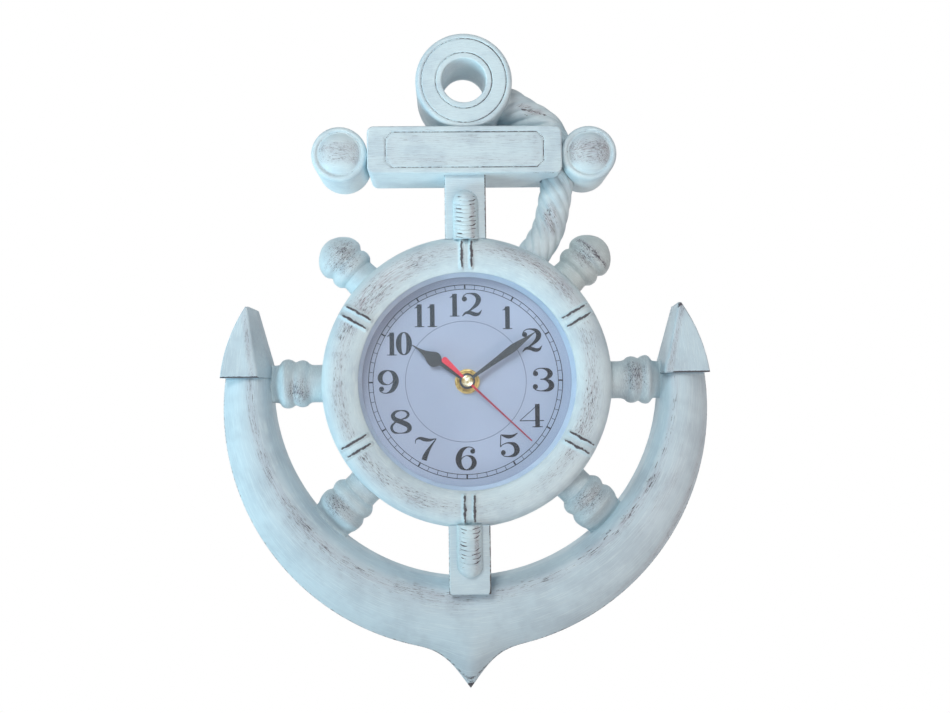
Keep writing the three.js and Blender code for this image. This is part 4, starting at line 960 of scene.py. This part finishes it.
def moulded(name, color, other, roughness, grit, strength):
    # Moulded plastic or rubber: grain of the mould's surface, grit in millimetres, and faint flow clouds
    m, add, place = newMaterial(name)
    spark, cloud = add("TexNoise", place, 1000.0 / grit, 2.0), add("TexNoise", place, 90.0, 2.0)
    color = add("Mix", add("MapRange", cloud, 0.35, 0.65), color, other)
    add("OutputMaterial", add("BsdfPrincipled", IOR=1.5, Base_Color=color,
                              Roughness=add("Math", spark, 0.15, roughness),
                              Normal=add("Bump", strength, 0.0002, Height=spark)))
    return m


def brassFinish(name, color, roughness):
    # Turned brass with a bright lacquer: concentric tool marks 0.08 mm apart, drawn at 0.25 mm so that they show
    m, add, place = newMaterial(name)
    shift = add("Mapping", place, (0.0, 0.0, nailHeight / 1000))
    rings = add("TexWave", shift, 4000.0 / 6.28, 1.0, 1.0, wave_type="RINGS", rings_direction="Y").outputs["Fac"]
    stain = add("TexNoise", place, 500.0, 3.0)
    color = add("Mix", add("MapRange", stain, 0.4, 0.7), color, "#a68a4c")
    add("OutputMaterial", add("BsdfPrincipled", Metallic=1.0, Base_Color=color,
                              Roughness=add("Math", stain, 0.15, roughness),
                              Normal=add("Bump", 0.2, 0.00005, Height=rings)))
    return m


def lensGlass():
    # Flat mineral glass: clear and polished. Lamp rays pass straight through, so that the dial stays lit
    m, add, place = newMaterial("Clear mineral glass")
    dust = add("Math", add("TexNoise", place, 60.0, 3.0), 0.03, operation="MULTIPLY")
    glass = add("BsdfPrincipled", Transmission_Weight=1.0, IOR=1.45, Base_Color="#f6faff", Roughness=dust)
    add("OutputMaterial", add("MixShader", add("LightPath").outputs["Is Shadow Ray"], glass, add("BsdfTransparent")))
    return m


brass = brassFinish("Turned brass", "#dcc27c", 0.3)
nut = {"bore": 4.2, "radius": 6.25, "low": 20.75, "high": 22.5}
cap = {"radius": 3.1, "low": 26.2, "high": 27.2}
spacer = {"inner": 57.0, "slope": 59.0, "outer": 62.0, "low": 20.05, "high": 28.1}
lens = {"radius": 62.1, "low": 28.2, "high": 30.1, "bevel": 0.3}


def makeCentre():
    # profiles turned about the axis: a nut with a rounded rim and a groove, and a low cap with a button
    bore, radius, low, high = nut.values()
    profile = route((bore, low), ((radius - 0.35, low), 3), ((radius, low), (radius, low + 0.35), 4),
                    ((radius, high - 0.5), 3), ((radius - 0.05, high), (radius - 0.55, high), 6),
                    ((radius - 0.9, high - 0.05), (bore + 1.0, high - 0.4), 5),
                    ((bore + 0.8, high), (bore + 0.5, high), 5), ((bore, high - 0.2), 3), ((bore, low), 4))
    addPiece("lockNut", turned(profile, 120), brass, stands=("round_nut",), slot="brass", ring=True)
    radius, low, high = cap.values()
    profile = route((0.2, low), ((radius, low), 4), ((radius + 0.25, low + 0.1), (radius + 0.1, high - 0.5), 6),
                    ((radius - 0.2, high - 0.1), (radius - 0.8, high - 0.05), 6),
                    ((1.9, high - 0.3), (1.4, high - 0.2), 6), ((0.8, high), (0.2, high), 6))
    addPiece("handCap", turned(profile, 90), brassFinish("Polished brass cap", "#f1ebcb", 0.2), "second", slot="brass")


def makeSpacer(finish):  # profile turned about the axis: a ring with a sloping inside
    inner, slope, outer, low, high = spacer.values()
    profile = route((inner, low), ((slope, high), 10), ((outer, high), 4), ((outer, low), 5), ((inner, low), 5))
    addPiece("spacerHoop", turned(profile, 200), finish, stands=("spacer_ring",), ring=True)


def makeLens():  # profile turned about the axis: a flat pane with rounded edges
    radius, low, high, bevel = lens.values()
    profile = route((0.5, low), ((radius - bevel, low), 20), ((radius, low), (radius, low + bevel), 4),
                    ((radius, high - bevel), 3), ((radius, high), (radius - bevel, high), 4), ((0.5, high), 20))
    addPiece("lensPane", turned(profile, 160), lensGlass(), stands=("lens",), slot="lens_glass")


spacerCard = moulded("Coated card spacer", "#bccfe0", "#b4c8da", 0.55, 0.4, 0.1)
makeCentre()
makeSpacer(spacerCard)
makeLens()
print("centre and lens made")


def rolledSteel():
    # Zinc-plated steel sheet: fine rolling lines 0.2 mm apart, a cool grey with faint spangle
    m, add, place = newMaterial("Zinc-plated steel")
    lines = add("TexNoise", add("Mapping", place, Scale=(60.0, 60.0, 2500.0)), 1.0, 2.0)
    spangle = add("Math", add("TexVoronoi", place, 350.0), 0.3, operation="MULTIPLY")
    color = add("Mix", spangle, add("Mix", lines, "#b9bdc2", "#9ea3a9"), "#cdd2d6")
    rough = add("Math", lines, 0.2, 0.25)
    add("OutputMaterial", add("BsdfPrincipled", Metallic=1.0, Base_Color=color, Roughness=rough))
    return m


def woundCopper():
    # Enamelled copper wire, wound side by side: 0.1 mm turns drawn 0.4 mm apart so that they show
    m, add, place = newMaterial("Enamelled copper wire")
    turns = add("TexWave", place, 2500.0 / 6.28, 0.4, bands_direction="X").outputs["Fac"]
    add("OutputMaterial", add("BsdfPrincipled", Metallic=1.0, Roughness=0.35,
                              Base_Color=add("Mix", turns, "#8a4b20", "#c77f43"),
                              Normal=add("Bump", 0.6, 0.0001, Height=turns)))
    return m


def circuitGreen():
    # Fibreglass board under solder mask: green lacquer with darker traces 1.2 mm apart
    m, add, place = newMaterial("Solder-masked board")
    cells = add("TexBrick", place, "#2d6b43", "#28613c", "#4f9a63", 400.0, 0.03)
    weave = add("Math", add("TexNoise", place, 1600.0), 0.2, operation="MULTIPLY")
    add("OutputMaterial", add("BsdfPrincipled", Roughness=0.3, Base_Color=add("Mix", weave, cells, "#1d4a2e")))
    return m


def cellWrap():
    # Printed shrink film on a dry cell: plain two-colour sleeve with a gold band, no lettering
    m, add, place = newMaterial("Shrink film on a dry cell")
    sleeve = add("MapRange", add("SeparateXYZ", place).outputs["X"], 0.0135, 0.0137)
    film = add("Math", add("TexNoise", place, 300.0, 3.0), 0.25, operation="MULTIPLY")
    color = add("Mix", film, add("Mix", sleeve, "#26323c", "#b8904a"), "#4a5a66")
    add("OutputMaterial", add("BsdfPrincipled", Roughness=0.28, Base_Color=color))
    return m


def dowelWood():
    # Beech dowel: straight grain along its length, 0.5 mm apart
    m, add, place = newMaterial("Beech")
    grain = add("TexNoise", add("Mapping", place, Scale=(2000.0, 2000.0, 120.0)), 1.0, 3.0)
    add("OutputMaterial", add("BsdfPrincipled", Roughness=0.7, Base_Color=add("Mix", grain, "#d2b287", "#a9835a")))
    return m


kept = (  # CAD nodes that stay, by their finish
    (card, "dial_plate"), (spacerCard, "retaining_ring"), (woundCopper(), "coil"), (circuitGreen(), "circuit_board"),
    (cellWrap(), "battery"), (moulded("Moulded rubber", "#242424", "#1b1b1b", 0.75, 0.5, 0.3), "rubber_washer"),
    (moulded("Moulded ABS, black", "#1d1e21", "#151619", 0.5, 0.3, 0.35), "case_front case_back set_knob"),
    (moulded("Moulded acetal, natural", "#e3e3dc", "#d8d8d0", 0.35, 0.8, 0.1),
     "middle_plate hour_wheel motion_wheel second_wheel third_wheel intermediate_wheel"),
    (brass, "threaded_bushing brass_washer cannon_pinion centre_wheel"),
    (rolledSteel(), "rotor stator quartz_crystal contact_positive contact_negative hanger_plate hanger_screw_left "
                    "hanger_screw_right"),
    (dowelWood(), " ".join(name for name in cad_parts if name.startswith("dowel"))),
)
for finish, names in kept:
    for name in names.split():
        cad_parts[name].data.materials.clear()
        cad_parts[name].data.materials.append(finish)
print("inner parts finished")

camera = {"place": (-0.01056, -0.52666, -0.14065), "yaw": -1.696, "pitch": -2.957, "roll": -0.789, "lens": 35.19}
lamps = {  # place in metres, side of the square, watts, colour, and whether gloss and glass show it
    "windowLight": ((-1.62, -0.62, -1.52), 1.3, 65.0, "#ccf2ff", False),
    "frontLight": ((-0.42, -1.3, 0.58), 0.5, 10.3, "#f8fbfa", True),
    "roomLight": ((0.75, -0.95, -0.75), 0.6, 5.6, "#ffe7dc", True),
    "wallLight": ((-0.25, 1.9, 0.15), 1.0, 16.0, "#f8fbfa", False)}  # from behind, so that the back shows too
lampTarget = (0.0, -0.02, -0.1)
sky = {"color": "#f2f5ff", "strength": 0.2}
floor = {"below": 520.0, "thick": 4.0, "radii": (0.5, 100.0, 300.0, 500.0), "glow": 0.6}


def turnMatrix(axis, degrees):  # right-handed turn about x, y or z as rows
    sin, cos = sinCos(degrees)
    rows = {"x": ((1, 0, 0), (0, cos, -sin), (0, sin, cos)), "y": ((cos, 0, sin), (0, 1, 0), (-sin, 0, cos)),
            "z": ((cos, -sin, 0), (sin, cos, 0), (0, 0, 1))}
    return np.array(rows[axis], float)


def stand(name, data, right, up, back, place):  # camera or lamp at a place, whose x, y and z axes are these
    thing = bpy.data.objects.new(name, data)
    turn = np.eye(4)
    turn[:3] = np.column_stack((right, up, back, place))
    thing.matrix_world = Matrix(turn.tolist())
    bpy.context.scene.collection.objects.link(thing)
    return thing


def makeCamera():  # rows of the turned frame: the picture's right, its down, and straight ahead
    rows = turnMatrix("z", camera["roll"]) @ turnMatrix("x", camera["pitch"]) @ turnMatrix("y", camera["yaw"])
    right, down, ahead = rows @ np.array(((1, 0, 0), (0, 0, -1), (0, 1, 0)), float)
    data = bpy.data.cameras.new("photoCamera")
    data.sensor_fit, data.sensor_width, data.lens, data.clip_start = "HORIZONTAL", 36.0, camera["lens"], 0.01
    bpy.context.scene.camera = stand("photoCamera", data, right, -down, -ahead, camera["place"])


def areaLamp(name, place, size, energy, color, mirrored):  # square lamp that faces the wheel
    data = bpy.data.lights.new(name, "AREA")
    data.size, data.energy, data.color = size, energy, linear(color)[:3]
    back = unit(np.array(place) - lampTarget)
    side = unit(np.cross((0, 0, 1), back))
    lamp = stand(name, data, side, np.cross(back, side), back, place)
    lamp.visible_glossy = lamp.visible_transmission = mirrored  # the large ones would fill the glass from the side


def makeWorld():
    # the camera sees plain white, also in metal and through glass; what lights the object is a dimmer sky
    world = bpy.data.worlds.new("studio")
    bpy.context.scene.world = world
    world.use_nodes = True
    world.node_tree.nodes.clear()
    add = partial(addNode, world)
    ray = add("LightPath").outputs
    onward = add("Math", ray["Is Glossy Ray"], ray["Is Transmission Ray"], operation="MAXIMUM")
    early = add("Math", ray["Diffuse Depth"], 0.5, operation="LESS_THAN")
    onward = add("Math", onward, early, operation="MULTIPLY")
    seen = add("Math", ray["Is Camera Ray"], onward, operation="MAXIMUM")
    add("OutputWorld", add("MixShader", seen, add("Background", sky["color"], sky["strength"]),
                           add("Background", (1, 1, 1, 1), 1.0)))


def makeFloor():
    # pale seamless round floor, well below the hanging clock, that the camera sees a little brighter
    m, add, place = newMaterial("Matt studio floor")
    color = add("Mix", add("TexNoise", place, 40.0, 2.0), "#f6f7f8", "#f2f3f5")
    pale = add("Math", add("LightPath").outputs["Is Camera Ray"], floor["glow"], operation="MULTIPLY")
    add("OutputMaterial", add("MixShader", pale, add("BsdfPrincipled", Roughness=0.9, Base_Color=color),
                              add("Emission", (1, 1, 1, 1), 1.0)))
    low = nailHeight - floor["below"]
    turn = (np.arange(64) / 64 * 2 * np.pi)[:, None]
    radii = np.array((*floor["radii"], floor["radii"][-1]))
    heights = np.array((low, low, low, low, low - floor["thick"])) + 0 * turn
    points = np.stack((radii * np.cos(turn), radii * np.sin(turn), heights), -1)
    mesh = closedMesh("floor", [points])
    mesh.materials.append(m)
    ground = bpy.data.objects.new("floor", mesh)
    bpy.context.scene.collection.objects.link(ground)


makeCamera()
for name, row in lamps.items():
    areaLamp(name, *row)
makeWorld()
makeFloor()
bpy.context.scene.view_settings.view_transform = "Standard"
print("camera, lamps and floor set")
